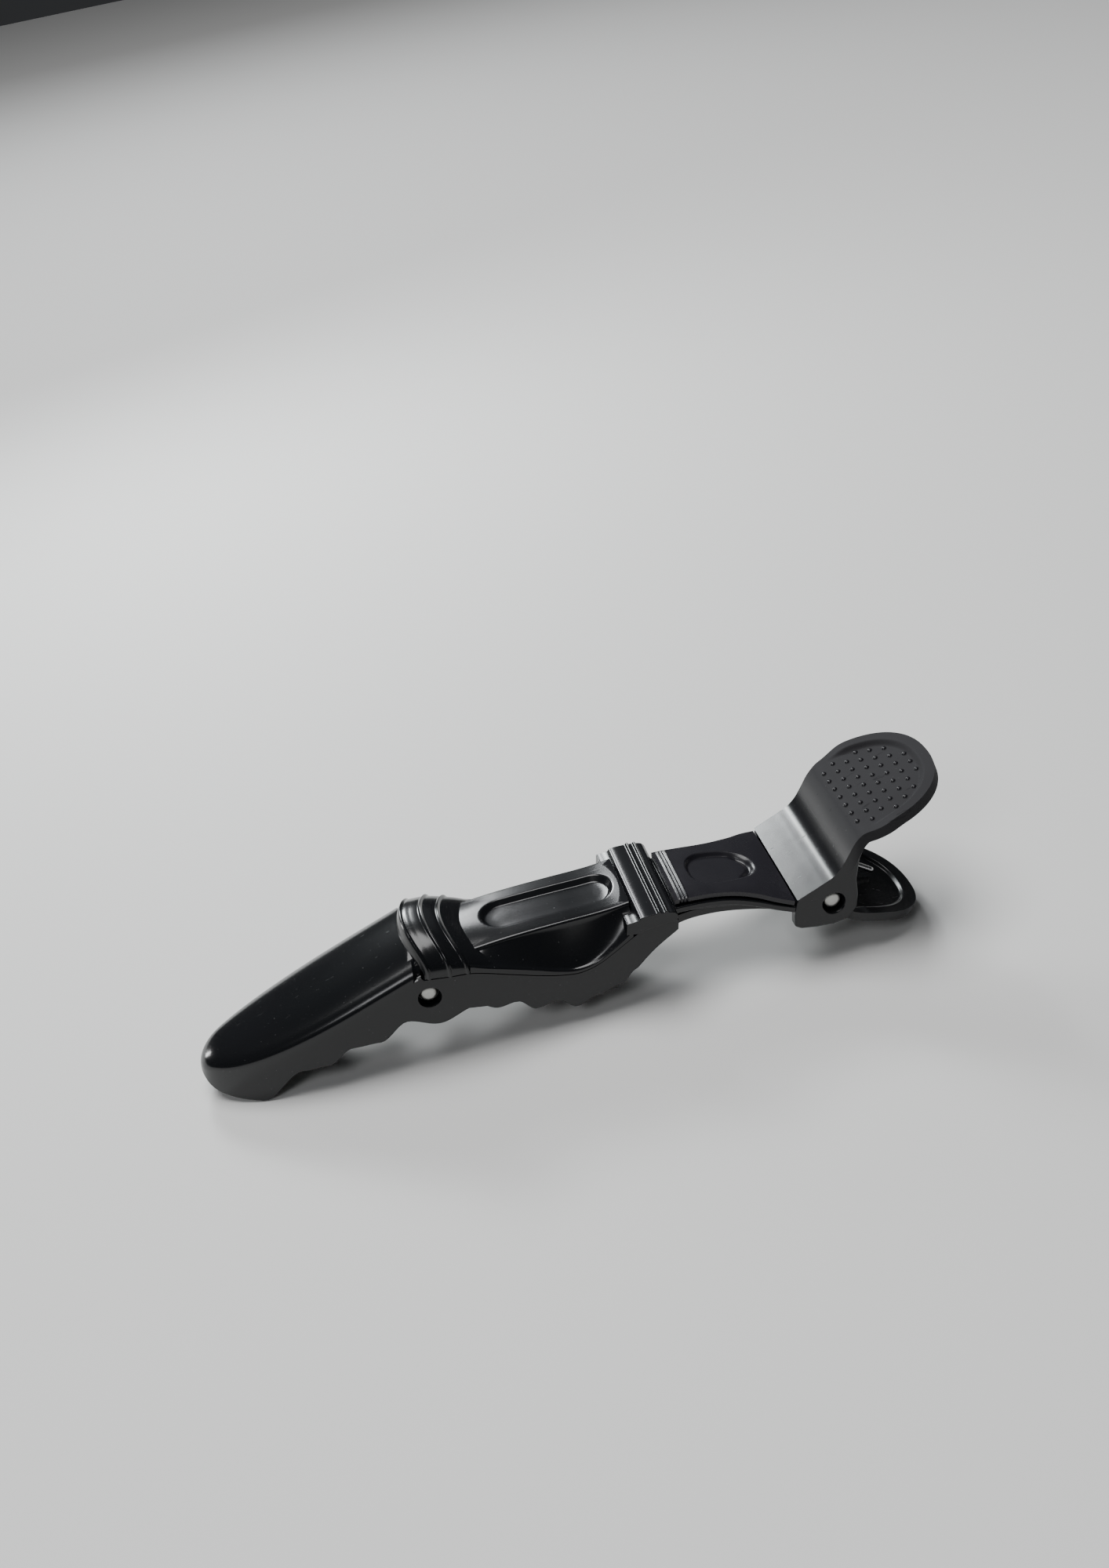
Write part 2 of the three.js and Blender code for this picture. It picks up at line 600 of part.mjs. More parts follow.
const makeLowerLever = () => {
  const jawFrontX = tipX + jawWall + 3.4;
  const neckFrontX = frontPinX - bossRadius - 1.4;
  const neckRearX = frontPinX + bossRadius + 1.4;
  const neckTopZ = frontPinZ - bossRadius - mouthGap + 0.1;
  const roofZ = (x) => snoutTop(x) - jawRoof - snoutCrown - mouthGap;
  const bodyTopZ = frontPinZ - 0.5;
  const jawRearX = coverRearX - 1.5;
  const topEdge = toothed(
    [neckFrontX - 1, roofZ(neckFrontX - 1) - 0.9],
    [jawFrontX + 0.8, roofZ(jawFrontX + 0.8) + 0.4],
    innerTeeth, innerToothDepth,
  );
  const bodyEdge = toothed(
    [jawRearX - 4, bodyTopZ], [neckRearX + 1, bodyTopZ], innerTeeth, innerToothDepth,
  );
  const underside = (x) => [x, undersideZ(x)];
  const jaw = [
    underside(jawFrontX),
    underside(frontPinX),
    underside(jowlX - 2),
    [jawRearX + 3.4, bodyTopZ - 0.9],
    [jawRearX + 1.2, bodyTopZ + 1],
    ...bodyEdge,
    [neckRearX, neckTopZ],
    [neckFrontX, neckTopZ],
    ...topEdge,
    [jawFrontX, roofZ(jawFrontX)],
  ];
  const innerPlan = roundedEnd(40, tipX + jawWall + 1.4, lowerJawHalf, 0.68 * snoutReach);
  const trayPlan = roundedEnd(
    40, tipX + jawWall + 2.9, lowerJawHalf - lowerWall, 0.66 * snoutReach,
  );
  const tray = (x0, x1, topZ) => across([
    [x0, undersideZ(x0) + lowerWall],
    [x1, undersideZ(x1) + lowerWall],
    [x1, topZ],
    [x0, topZ],
  ], farAway);
  const jawSolid = across(jaw, farAway).intersect(planCut(innerPlan)).subtract(
    tray(jawFrontX + lowerWall, neckFrontX - 1.2, 0)
      .add(tray(neckRearX + 1.2, jawRearX - 2.5, 0))
      .intersect(planCut(trayPlan)),
  );
  // the bridge that runs back to the hinge close under the upper lever's arm
  const archTop = smooth([
    [jawRearX - 1, bodyTopZ - 0.4],
    [barFrontX + 1, barTopZ - barDepth - 2.6],
    [barRearX + 1.5, archTopZ - 0.9],
    [barRearX + 6, archTopZ],
    [panelFront[0] - 4, archTopZ - 0.2],
    [panelFront[0] + 1.5, floorTopZ - 0.1],
  ], 18);
  const archUnder = smooth([
    [panelFront[0] + 1.5, floorTopZ - lowerWall],
    [panelFront[0] - 4.2, archTopZ - archDepth - 0.2],
    [barRearX + 5.6, archTopZ - archDepth],
    [barRearX + 1.4, archTopZ - archDepth - 1.2],
    [barFrontX + 2.4, barTopZ - barDepth - 5.4],
    [jawRearX, bodyTopZ - 3],
  ], 18);
  const bridge = across([...archTop, ...archUnder], archHalfWidth);
  const floor = across([
    [panelFront[0] + 1, floorTopZ],
    [panelFront[0] + 1, floorTopZ - lowerWall],
    [lowerPadStart[0] + 0.8, lowerPadStart[1] - padThickness],
    [lowerPadStart[0] + 0.8, lowerPadStart[1]],
    [lowerPadStart[0] - 1, floorTopZ],
  ], lowerLugOuter);
  const lug = bothSides([
    ...disc(hinge, boreRadius + lowerLugRing).filter(([, z]) => z > -0.1),
    [-coilOutside, floorTopZ - 0.5],
    [lowerPadStart[0] + 0.6, floorTopZ - 0.5],
  ], lowerLugInner, lowerLugOuter);
  return join(
    jawSolid,
    bridge,
    floor,
    lug,
    padPlate(lowerPadStart, lowerPadEnd, lowerPadHalfWidth, lowerLugOuter, padThickness, 1),
  ).subtract(crossBar(hinge, boreRadius, panelHalfWidth));
};

// ---------------------------------------------------------------- pins and spring

const makeMainPin = () => crossBar(hinge, pinRadius, panelHalfWidth - pinRecess - 0.1);
const makeFrontPin = () => crossBar(frontPivot, pinRadius, jawHalfWidth - pinRecess - 0.1);

// The legs leave the coil from its far side, so squeezing the handles winds the coil up.
const upperLegAngle = THREE.MathUtils.degToRad(30);
const lowerLegAngle = THREE.MathUtils.degToRad(10);
const coilStart = upperLegAngle + Math.PI / 2;
const coilSweep = 2 * Math.PI * coilTurns + lowerLegAngle - Math.PI / 2 - coilStart;
const coilWidth = (coilSweep / (2 * Math.PI)) * (2 * wireRadius + wireGap);

class Helix extends THREE.Curve {
  getPoint(t, target = new THREE.Vector3()) {
    const angle = coilStart + coilSweep * t;
    return target.set(
      coilRadius * Math.cos(angle),
      coilWidth * (t - 0.5),
      coilRadius * Math.sin(angle),
    );
  }
}

const wireAlong = (path, steps) => {
  const shape = new THREE.Shape();
  shape.absarc(0, 0, wireRadius, 0, 2 * Math.PI);
  return toSolid(new THREE.ExtrudeGeometry(shape, {
    extrudePath: path, steps, curveSegments: 4, bevelEnabled: false,
  }));
};

const makeCoil = () => wireAlong(new Helix(), 18 * coilTurns);

// A leg that leaves the coil along its tangent, then bends towards the pad it presses on.
const makeLeg = (coilAngle, legAngle, y, length, foot) => {
  const at = (distance) => new THREE.Vector3(
    coilRadius * Math.cos(coilAngle) + distance * Math.cos(legAngle),
    y,
    coilRadius * Math.sin(coilAngle) + distance * Math.sin(legAngle),
  );
  const path = new THREE.CatmullRomCurve3(
    [at(seam), at(0.5 * length), at(length), new THREE.Vector3(foot[0], y, foot[1])],
    false, 'centripetal',
  );
  return wireAlong(path, 12);
};

const makeUpperLeg = () => {
  const x = padStart[0] + 3.4;
  const padUnder = padStart[1] + 3.4 * padRise(padStart, padEnd) - 1.15 * padThickness;
  const foot = [x, padUnder - wireRadius - seam];
  return makeLeg(coilStart, upperLegAngle, -coilWidth / 2, upperLegLength, foot);
};

const makeLowerLeg = () => {
  const x = lowerPadStart[0] + 8;
  const foot = [x, lowerPadStart[1] + 8 * padRise(lowerPadStart, lowerPadEnd) + wireRadius + seam];
  return makeLeg(lowerLegAngle - Math.PI / 2, lowerLegAngle, coilWidth / 2, lowerLegLength, foot);
};

// ---------------------------------------------------------------- assembly

const blackPlastic = { color: 0x15171a, roughness: 0.22, metalness: 0 };
const softBlack = { color: 0x1c1b20, roughness: 0.5, metalness: 0 };
const steel = { color: 0x9a9b9c, roughness: 0.3, metalness: 1 };

const pieces = [
  ['upper_lever', makeUpperLever(), blackPlastic],
  ['front_jaw', makeFrontJaw(), blackPlastic],
  ['lower_lever', makeLowerLever(), blackPlastic],
  ['strap', makeStrap(), softBlack],
  ['main_pin', makeMainPin(), steel],
  ['front_pin', makeFrontPin(), steel],
  ['spring_coil', makeCoil(), steel],
  ['spring_upper_leg', makeUpperLeg(), steel],
  ['spring_lower_leg', makeLowerLeg(), steel],
];

const clip = new THREE.Group();
for (const [name, solid, look] of pieces) {
  const mesh = new THREE.Mesh(toGeometry(solid), new THREE.MeshStandardMaterial(look));
  mesh.name = name;
  clip.add(mesh);
}

// Tip the clip until its tip and the end of its lower pad stand on one level, then put the
// middle of its footprint at the origin.
const padSlope = Math.atan2(lowerPadEnd[1] - lowerPadStart[1], lowerPadEnd[0] - lowerPadStart[0]);
const heel = [
  lowerPadEnd[0] + padThickness * Math.sin(padSlope),
  lowerPadEnd[1] - padThickness * Math.cos(padSlope),
];
const restTilt = Math.max(...skirtTeeth.map(([x, z]) => Math.atan2(heel[1] - z, heel[0] - x)));
clip.rotation.y = restTilt;
const box = new THREE.Box3().setFromObject(clip, true);
const middle = box.getCenter(new THREE.Vector3());
clip.position.set(-middle.x, -middle.y, -box.min.z);

export default clip;
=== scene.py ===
# %% [markdown]
# # A crocodile sectioning clip
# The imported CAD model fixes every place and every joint. This script wears it: each moulding of the
# clip is made again as a fine smooth surface, in the same frame, and then gets its finish. Sizes are
# written in millimetres in the clip's own side plane, with the hinge pin at x = z = 0 and the tip
# towards -X, because that is how such a clip is drawn; one function then puts them in the frame.

# %% Load the frame
import json
from math import atan2, cos, pi, radians, sin, tan

import bmesh
import bpy
import numpy as np
from mathutils import Matrix, Vector


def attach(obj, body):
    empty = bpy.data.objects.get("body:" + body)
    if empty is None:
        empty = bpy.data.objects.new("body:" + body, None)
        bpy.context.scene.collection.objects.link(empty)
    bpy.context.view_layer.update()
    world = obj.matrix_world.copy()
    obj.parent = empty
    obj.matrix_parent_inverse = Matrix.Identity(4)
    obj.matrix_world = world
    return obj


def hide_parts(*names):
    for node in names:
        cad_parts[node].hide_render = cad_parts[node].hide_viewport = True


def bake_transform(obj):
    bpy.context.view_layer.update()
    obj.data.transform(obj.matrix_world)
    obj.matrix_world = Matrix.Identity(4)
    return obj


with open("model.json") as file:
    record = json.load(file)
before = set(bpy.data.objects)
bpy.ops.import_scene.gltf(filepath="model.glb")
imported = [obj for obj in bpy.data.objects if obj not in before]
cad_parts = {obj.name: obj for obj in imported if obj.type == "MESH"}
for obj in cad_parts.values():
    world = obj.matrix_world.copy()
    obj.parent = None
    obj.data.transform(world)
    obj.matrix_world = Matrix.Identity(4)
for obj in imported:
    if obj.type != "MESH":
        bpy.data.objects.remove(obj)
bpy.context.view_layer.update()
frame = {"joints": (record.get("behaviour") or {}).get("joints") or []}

joints = {joint["name"]: joint for joint in frame["joints"]}

# %% [markdown]
# The clip lies tipped on its nose and its lower pad. The two pins tell by how much: the line from one
# to the other has a known slope in the clip's side plane, and the joints give its slope in the frame.

# %% From the clip's side plane to the frame
MM = 0.001
FRONT_PIN = np.array([-63.5, -9.1])
hinge_at = np.array(joints["main_hinge"]["pos_m"])
rock_at = np.array(joints["jaw_rock"]["pos_m"])
run = rock_at - hinge_at
tilt = atan2(FRONT_PIN[1], FRONT_PIN[0]) - atan2(run[2], run[0])


def turned(vectors):
    """Directions of the side plane turned about the y axis by the tilt."""
    v = np.asarray(vectors, float)
    x = v[..., 0] * cos(tilt) + v[..., 2] * sin(tilt)
    z = v[..., 2] * cos(tilt) - v[..., 0] * sin(tilt)
    return np.stack([x, v[..., 1], z], axis=-1)


def place(points):
    """Millimetres about the hinge to metres in the frame: turn, shrink, then move to the hinge."""
    return turned(points) * MM + hinge_at


print("tilt", round(tilt * 180 / pi, 3), "degrees")

# %% [markdown]
# Everything here is a grid of points worked out at once. Three small formulas draw the lines: a smooth
# curve through marks, a wavy line that is level at each mark, and a superellipse, whose power says
# how square its shoulders are.

# %% Lines


def curve(marks, x):
    """A smooth line through marks: cubic pieces whose slopes are the means of their neighbours'."""
    mx, mz = np.array(marks, float).T
    step = np.diff(mx)
    grade = np.diff(mz) / step
    slope = np.concatenate([grade[:1], (grade[:-1] + grade[1:]) / 2, grade[-1:]])
    k = np.clip(np.searchsorted(mx, x) - 1, 0, len(step) - 1)
    t = np.clip((x - mx[k]) / step[k], 0, 1)
    h = step[k]
    rise = (3 - 2 * t) * t * t
    return (mz[k] * (1 - rise) + mz[k + 1] * rise
            + h * t * (1 - t) * (slope[k] * (1 - t) - slope[k + 1] * t))


def waved(marks, x):
    """A line that is level at each mark, with a cosine step from one mark to the next."""
    mx, mz = np.array(marks, float).T
    k = np.clip(np.searchsorted(mx, x) - 1, 0, len(mx) - 2)
    t = np.clip((x - mx[k]) / (mx[k + 1] - mx[k]), 0, 1)
    return mz[k] + (mz[k + 1] - mz[k]) * (0.5 - 0.5 * np.cos(pi * t))


def squircle(share, power):
    """Height of a superellipse over its middle: (1 - |share|^power)^(1/power)."""
    return np.clip(1 - np.abs(share) ** power, 0, 1) ** (1 / power)


def arch(turn, power):
    """Half a superellipse from side to side: y from 1 to -1, and z from 0 up to 1 and down again."""
    y = np.sign(np.cos(turn)) * np.abs(np.cos(turn)) ** (2 / power)
    return y, np.sin(turn) ** (2 / power)


def smooth_step(low, high, x):
    """0 below low, 1 above high, and a smooth S between."""
    t = np.clip((x - low) / (high - low), 0, 1)
    return t * t * (3 - 2 * t)


def bump(x, middle, half):
    """A ridge of height 1 and half width half: half a cosine wave."""
    t = np.clip(np.abs(x - middle) / half, 0, 1)
    return 0.5 + 0.5 * np.cos(pi * t)


def path_through(marks, steps):
    """Points evenly spaced along a smooth path through marks in the side plane."""
    marks = np.array(marks, float)
    along = np.concatenate([[0], np.cumsum(np.hypot(*np.diff(marks, axis=0).T))])
    s = np.linspace(0, along[-1], steps)
    return np.stack([curve(np.stack([along, marks[:, i]], 1), s) for i in (0, 1)], axis=1)


# %% [markdown]
# A shape is a list of patches. A patch is a grid of points with its quads, or a closed loop carried
# along a path with its two ends shut. Patches that share an edge are welded when the piece is made.

# %% Patches


def quads(rows, columns, wrap=False):
    """Index quads of a grid, whose last column joins the first when it wraps."""
    index = np.arange(rows * columns).reshape(rows, columns)
    if wrap:
        index = np.hstack([index, index[:, :1]])
    corners = [index[:-1, :-1], index[1:, :-1], index[1:, 1:], index[:-1, 1:]]
    return np.stack(corners, axis=-1).reshape(-1, 4)


def patch(grid, wrap=False):
    """(points, faces) of a grid of points."""
    rows, columns = grid.shape[:2]
    return grid.reshape(-1, 3), quads(rows, columns, wrap).tolist()


def mirrored(grid):
    """The same grid on the other side of the clip."""
    return grid * [1, -1, 1]


def carried(loops):
    """Closed loops, one per row, joined into a tube whose two ends are shut."""
    points, faces = patch(loops, wrap=True)
    rows, columns = loops.shape[:2]
    ends = [list(range(columns))[::-1], list(range((rows - 1) * columns, rows * columns))]
    return points, faces + ends


def plate(outline, low, high):
    """A side outline (x, z) carried straight across from y = low to y = high."""
    outline = np.asarray(outline, float)
    flat = [np.stack([outline[:, 0], np.full(len(outline), y), outline[:, 1]], 1) for y in (low, high)]
    return carried(np.stack(flat))


def both(outline, inner, outer):
    """The same plate on both sides of the clip."""
    return [plate(outline, inner, outer), plate(outline, -outer, -inner)]


# %% [markdown]
# One function turns patches into a piece. It welds them, points the faces outwards, and finishes with
# modifiers: Solidify gives a moulding its wall and Bevel softens its rims, since no moulded edge is
# sharp. Modifiers are applied at once where a hole is cut afterwards.

# %% Making a piece
WELD = 2e-6
made = {}


def mesh_from(name, patches, inside=None):
    """A welded mesh. An open sheet is turned so that it faces away from the inside point."""
    points, faces, start = [], [], 0
    for patch_points, patch_faces in patches:
        points.append(place(patch_points))
        faces += [[start + i for i in face] for face in patch_faces]
        start += len(patch_points)
    mesh = bpy.data.meshes.new(name)
    mesh.from_pydata(np.concatenate(points).tolist(), [], faces)
    work = bmesh.new()
    work.from_mesh(mesh)
    bmesh.ops.remove_doubles(work, verts=work.verts, dist=WELD)
    bmesh.ops.dissolve_degenerate(work, edges=work.edges, dist=WELD / 4)
    bmesh.ops.recalc_face_normals(work, faces=work.faces)
    if inside is not None:
        middle = Vector(place(np.array(inside, float)))
        away = sum((f.calc_center_median() - middle).dot(f.normal) * f.calc_area() for f in work.faces)
        if away < 0:
            bmesh.ops.reverse_faces(work, faces=work.faces)
    work.to_mesh(mesh)
    work.free()
    mesh.shade_smooth()
    return mesh


def apply_all(piece):
    """Replaces the mesh by its modified form and drops the modifiers."""
    graph = bpy.context.evaluated_depsgraph_get()
    mesh = bpy.data.meshes.new_from_object(piece.evaluated_get(graph))
    piece.modifiers.clear()
    old, piece.data = piece.data, mesh
    bpy.data.meshes.remove(old)


def round_edges(piece, width, angle=40, segments=3):
    """A bevel on every edge sharper than the angle, with its shading kept flat beside it."""
    bevel = piece.modifiers.new("soft edges", "BEVEL")
    bevel.width = width * MM
    bevel.segments = segments
    bevel.limit_method = "ANGLE"
    bevel.angle_limit = radians(angle)
    bevel.harden_normals = True
    bevel.miter_outer = "MITER_ARC"


def make(name, patches, body, wall=0, edge=0.2, inside=None, holes=(), angle=40, even=True):
    """A finished piece that rides on a body. Each hole is (x, z, radius) straight across the clip."""
    piece = bpy.data.objects.new(name, mesh_from(name, patches, inside))
    bpy.context.scene.collection.objects.link(piece)
    if wall:
        shell = piece.modifiers.new("wall", "SOLIDIFY")
        shell.thickness = wall * MM
        shell.offset = -1
        shell.use_even_offset = even
    for x, z, radius in holes:
        bore(piece, x, z, radius)
    if edge:
        round_edges(piece, edge, angle)
    if body:
        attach(piece, body)
    made[name] = piece
    print(name, len(piece.data.polygons), "faces")
    return piece


def bore(piece, x, z, radius, steps=40):
    """Cuts a round hole across the piece, and keeps only the cut mesh."""
    turn = np.linspace(0, 2 * pi, steps, endpoint=False)
    outline = np.stack([x + radius * np.cos(turn), z + radius * np.sin(turn)], axis=1)
    cutter = bpy.data.objects.new("cutter", mesh_from("cutter", [plate(outline, -20, 20)]))
    bpy.context.scene.collection.objects.link(cutter)
    cut = piece.modifiers.new("bore", "BOOLEAN")
    cut.operation = "DIFFERENCE"
    cut.solver = "EXACT"
    cut.object = cutter
    bpy.context.view_layer.update()
    apply_all(piece)
    old = cutter.data
    bpy.data.objects.remove(cutter)
    bpy.data.meshes.remove(old)


# %% [markdown]
# ## The front jaw
# The real jaw is one thin moulding: a round-nosed hood, open underneath, whose side walls run back past
# the pin as two toothed cheeks. A box with bevels would never get the nose right. Here each station
# along the clip has a half width, a crown height, a wall top and a toothed bottom line, so walls and
# hood are two grids that share an edge, and Solidify gives the wall.

# %% Lines of the front jaw
TIP_X = -98.8
SEAT_X = -64.7
JAW_HALF = 9.5
JAW_WALL = 1.3
SEAM = 0.3
NOSE_LENGTH = 25.4
NOSE_POWER = 2.2
CHEEK_END_X = -24.6
BORE_RADIUS = 1.5
back_slope = tan(radians(29.3))
teeth = [
    (-90, -26.1), (-83.2, -20.3), (-79.6, -19.7), (-75.6, -16.8), (-71.4, -16.4), (-67, -13.1),
    (-62.3, -14.2), (-56, -11.7), (-53, -12.7), (-49.9, -12), (-47, -13.8), (-43.4, -12.8),
    (-40.6, -14.4), (-37, -12.7), (-33.5, -11.2), (-31, -8.7),
]
parting = [
    (-70, -5.6), (-60, -5.5), (-56.9, -5.4), (-51, -6.5), (-46.5, -7.4), (-42.8, -7.9), (-39.8, -7.8),
    (-36.8, -6.5), (-34.6, -4.8), (-30.5, -1.6), (-27.9, -0.6), (-24.6, -0.2),
]


def back_line(x):
    """The straight back of the snout in the side view."""
    return FRONT_PIN[1] + 8 + (x - FRONT_PIN[0]) * back_slope


def nose_share(x, reach):
    """Where a station stands in the rounded nose: 0 where the nose starts, 1 at the tip."""
    return np.clip(1 - (x - TIP_X) / reach, 0, 1)


def plan_half(x):
    """Half width in plan: straight sides that close in a superellipse."""
    return JAW_HALF * squircle(nose_share(x, NOSE_LENGTH), NOSE_POWER)


def crown_line(x):
    """The back, rounded down over the last few millimetres."""
    return back_line(x) - 2.2 * (1 - squircle(nose_share(x, 3.4), NOSE_POWER))


def hood_rise(x):
    """Crown over wall top: less at the nose, where the hood is narrow."""
    return 0.5 + 3.1 * plan_half(x) / JAW_HALF


def bottom_line(x):
    """Teeth, with the chin's curve in front of the first one and the cheek's end behind the last."""
    chin = curve([(TIP_X, -23.6), (-97.6, -24.9), (-94.6, -25.8), (-90, -26.1)], x)
    tail = curve([(-31, -8.7), (-28.4, -5.6), (CHEEK_END_X, -2.2)], x)
    first_tooth, last_tooth = teeth[0][0], teeth[-1][0]
    return np.where(x < first_tooth, chin, np.where(x > last_tooth, tail, waved(teeth, x)))


# %% The front jaw
nose_rows = TIP_X + (SEAT_X - TIP_X) * (1 - np.cos(np.linspace(0, pi / 2, 90)))
cheek_rows = np.linspace(SEAT_X, CHEEK_END_X, 110)[1:]
jaw_rows = np.concatenate([nose_rows, cheek_rows])
wall_top = np.where(
    jaw_rows <= SEAT_X,
    crown_line(jaw_rows) - hood_rise(jaw_rows),
    curve(parting, jaw_rows) - SEAM,
)
up = np.linspace(0, 1, 9)
wall_z = bottom_line(jaw_rows)[:, None] * (1 - up) + wall_top[:, None] * up
wall_grid = np.stack([
    np.broadcast_to(jaw_rows[:, None], wall_z.shape),
    np.broadcast_to(plan_half(jaw_rows)[:, None], wall_z.shape),
    wall_z,
], axis=-1)
over = np.linspace(0, pi, 49)
round_y, round_z = arch(over, 2.3)
# the hood's rear edge is tucked in, to leave room under the collar when the jaw rocks
TUCK_NARROW = 0.09
TUCK_DROP = 0.45
tuck = smooth_step(-65.9, -65.1, nose_rows)[:, None] * np.minimum(8 * round_z, 1)
shoulder = (crown_line(nose_rows) - hood_rise(nose_rows))[:, None]
hood_grid = np.stack([
    np.broadcast_to(nose_rows[:, None], (len(nose_rows), len(over))),
    plan_half(nose_rows)[:, None] * round_y * (1 - TUCK_NARROW * tuck),
    shoulder + hood_rise(nose_rows)[:, None] * round_z - TUCK_DROP * tuck,
], axis=-1)
front_jaw = make(
    "front_jaw_moulding", [patch(wall_grid), patch(mirrored(wall_grid)), patch(hood_grid)],
    "jaw", wall=JAW_WALL, edge=0.22, inside=(-75, 0, -17),
    holes=[(*FRONT_PIN, 1.85)], angle=50,
)
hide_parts("front_jaw")

# %% [markdown]
# ## The collar
# A barrel-shaped hoop with three fine ribs hides the joint between snout and lever. Its ribs bow
# towards the tip over the middle. It is one arch swept along the clip: the crown line gives the barrel,
# narrow cosine ridges give the ribs, and a square law in y bows every station.

# %% The collar
COVER_HALF = 9.7
COLLAR_BOW = 2.8
RIB_HEIGHT = 0.32
RIB_HALF = 0.42
ribs = [-66.3, -63.1, -60.4]
barrel = [(-66.95, -2.6), (-66.7, -1.3), (-66.2, -0.75), (-64.8, -0.4), (-63.1, -0.3), (-61.7, -0.6),
          (-60.4, -1.1), (-58.6, -1.9), (-57, -2.75), (-54.6, -3.9)]
collar_rows = np.concatenate([np.linspace(-66.95, -66.2, 8)[:-1], np.linspace(-66.2, -54.6, 120)])
arch_y, arch_z = arch(over, 2.25)
rib_rise = RIB_HEIGHT * sum(bump(collar_rows, rib, RIB_HALF) for rib in ribs)
hoop_x = collar_rows[:, None] + COLLAR_BOW * arch_y ** 2
hoop_foot = curve(parting, hoop_x)
hoop_crown = (curve(barrel, collar_rows) + rib_rise)[:, None]
hoop_side = COVER_HALF + 0.3 * (rib_rise / RIB_HEIGHT - 0.3 + 0.25 * bump(collar_rows, -63.1, 4))[:, None]
collar_grid = np.stack([
    hoop_x,
    hoop_side * arch_y,
    hoop_foot + (hoop_crown - hoop_foot) * arch_z,
], axis=-1)
make("collar", [patch(collar_grid)], "upper", wall=0.9, edge=0.15, inside=(-61, 0, -10))

# %% [markdown]
# ## The raised cover
# Behind the collar stands a long raised face with a sunk panel, and both its sides are scooped out in
# a concave fillet down to a thin flange that meets the cheek. The face is a set of rings round the sunk
# panel, so its lip is crisp at any size; the side is a row of sections: rounded edge, scoop, lip, skirt.

# %% The cover's face
FACE_FRONT_X = -57.2
FACE_REAR_X = -31.8
FACE_HALF = 6.15
FACE_ROUND = 0.45
SUNK_HALF = 3.9
SUNK_END = 0.85
SUNK_DEPTH = 0.85
SUNK_FRONT_X = -54.2
SUNK_REAR_X = -32.7
face_rows = np.linspace(FACE_FRONT_X, FACE_REAR_X, 90)
end_turn = np.linspace(0, 1, 26)[1:-1]


def face_z(x, y):
    """The face rises to the rear, crowned at its front and turned up at its last millimetres."""
    line = curve([(FACE_FRONT_X, -2.75), (-52, -1.78), (-42, -0.12), (-37.5, 0.56), (-34.5, 1.14),
                  (FACE_REAR_X, 1.85)], x)
    crown = curve([(FACE_FRONT_X, 0.75), (-50, 0.35), (-40, 0.15), (FACE_REAR_X, 0.05)], x)
    return line - crown * (y / FACE_HALF) ** 2


def sunk_ring(inset):
    """The sunk panel's outline, moved in by inset: straight sides, a round front, a flatter rear end."""
    half = SUNK_HALF - inset
    front = SUNK_FRONT_X + SUNK_HALF
    rear = SUNK_REAR_X - SUNK_HALF * SUNK_END
    x_side = front + (rear - front) * np.linspace(0, 1, len(face_rows))
    turn = pi * end_turn
    near = np.stack([x_side, np.full(len(x_side), -half)], 1)
    rear_end = np.stack([rear + SUNK_END * half * np.sin(turn), -half * np.cos(turn)], 1)
    far = near[::-1] * [1, -1]
    front_end = np.stack([front - half * np.sin(turn), half * np.cos(turn)], 1)
    return np.concatenate([near, rear_end, far, front_end])


def face_outline():
    """The face's own outline, point for point with the rings."""
    near = np.stack([face_rows, np.full(len(face_rows), -FACE_HALF)], 1)
    across = -FACE_HALF + 2 * FACE_HALF * end_turn
    rear_end = np.stack([np.full(len(across), FACE_REAR_X), across], 1)
    far = near[::-1] * [1, -1]
    front_end = np.stack([np.full(len(across), FACE_FRONT_X), -across], 1)
    return np.concatenate([near, rear_end, far, front_end])


def ring_at(flat, drop):
    """An outline laid on the face and sunk by drop."""
    return np.stack([flat[:, 0], flat[:, 1], face_z(flat[:, 0], flat[:, 1]) - drop], axis=1)


outline = face_outline()
lip = sunk_ring(0)
# each ring of the sunk panel: how far it is moved in, and its share of the depth
levels = [(SUNK_HALF - 0.01, 1), (2.6, 1), (1.25, 1), (1.05, 0.97), (0.95, 0.88), (0.35, 0.12),
          (0.25, 0.03)]
rings = [ring_at(sunk_ring(inset), SUNK_DEPTH * depth) for inset, depth in levels]
rings += [ring_at(lip + (outline - lip) * share, 0) for share in (0, 0.06, 0.3, 0.65, 1)]
face_grid = np.stack(rings)

# %% The cover's scooped sides
SCOOP_OUT = 9.25
scoop_foot = [(-57.2, -4.0), (-55.4, -4.5), (-50.9, -5.4), (-47, -6.2), (-43.4, -7), (-40.4, -7.2),
              (-37.5, -6.2), (-34.6, -3.9), (-33.2, -2.6), (-31.8, -1.2)]
side_x = face_rows[:, None]
edge_z = face_z(face_rows, FACE_HALF)[:, None]
turn = np.linspace(0, pi / 2, 7)[None, :]
edge_y = FACE_HALF + FACE_ROUND * np.sin(turn) + 0 * side_x
edge_part = edge_z - FACE_ROUND * (1 - np.cos(turn))
share = np.linspace(0, 1, 24)[None, 1:] ** 0.8
scoop_top = edge_z - FACE_ROUND
foot_z = np.minimum(curve(scoop_foot, side_x), scoop_top - 0.12)
scoop_in = FACE_HALF + FACE_ROUND
scoop_y = scoop_in + (SCOOP_OUT - scoop_in) * share + 0 * side_x
scoop_z = scoop_top - (scoop_top - foot_z) * (1 - (1 - share) ** 1.3)
lip_turn = np.linspace(0, pi / 2, 6)[None, 1:]
lip_y = SCOOP_OUT + (COVER_HALF - SCOOP_OUT) * np.sin(lip_turn) + 0 * side_x
lip_z = foot_z - 0.4 * (1 - np.cos(lip_turn))
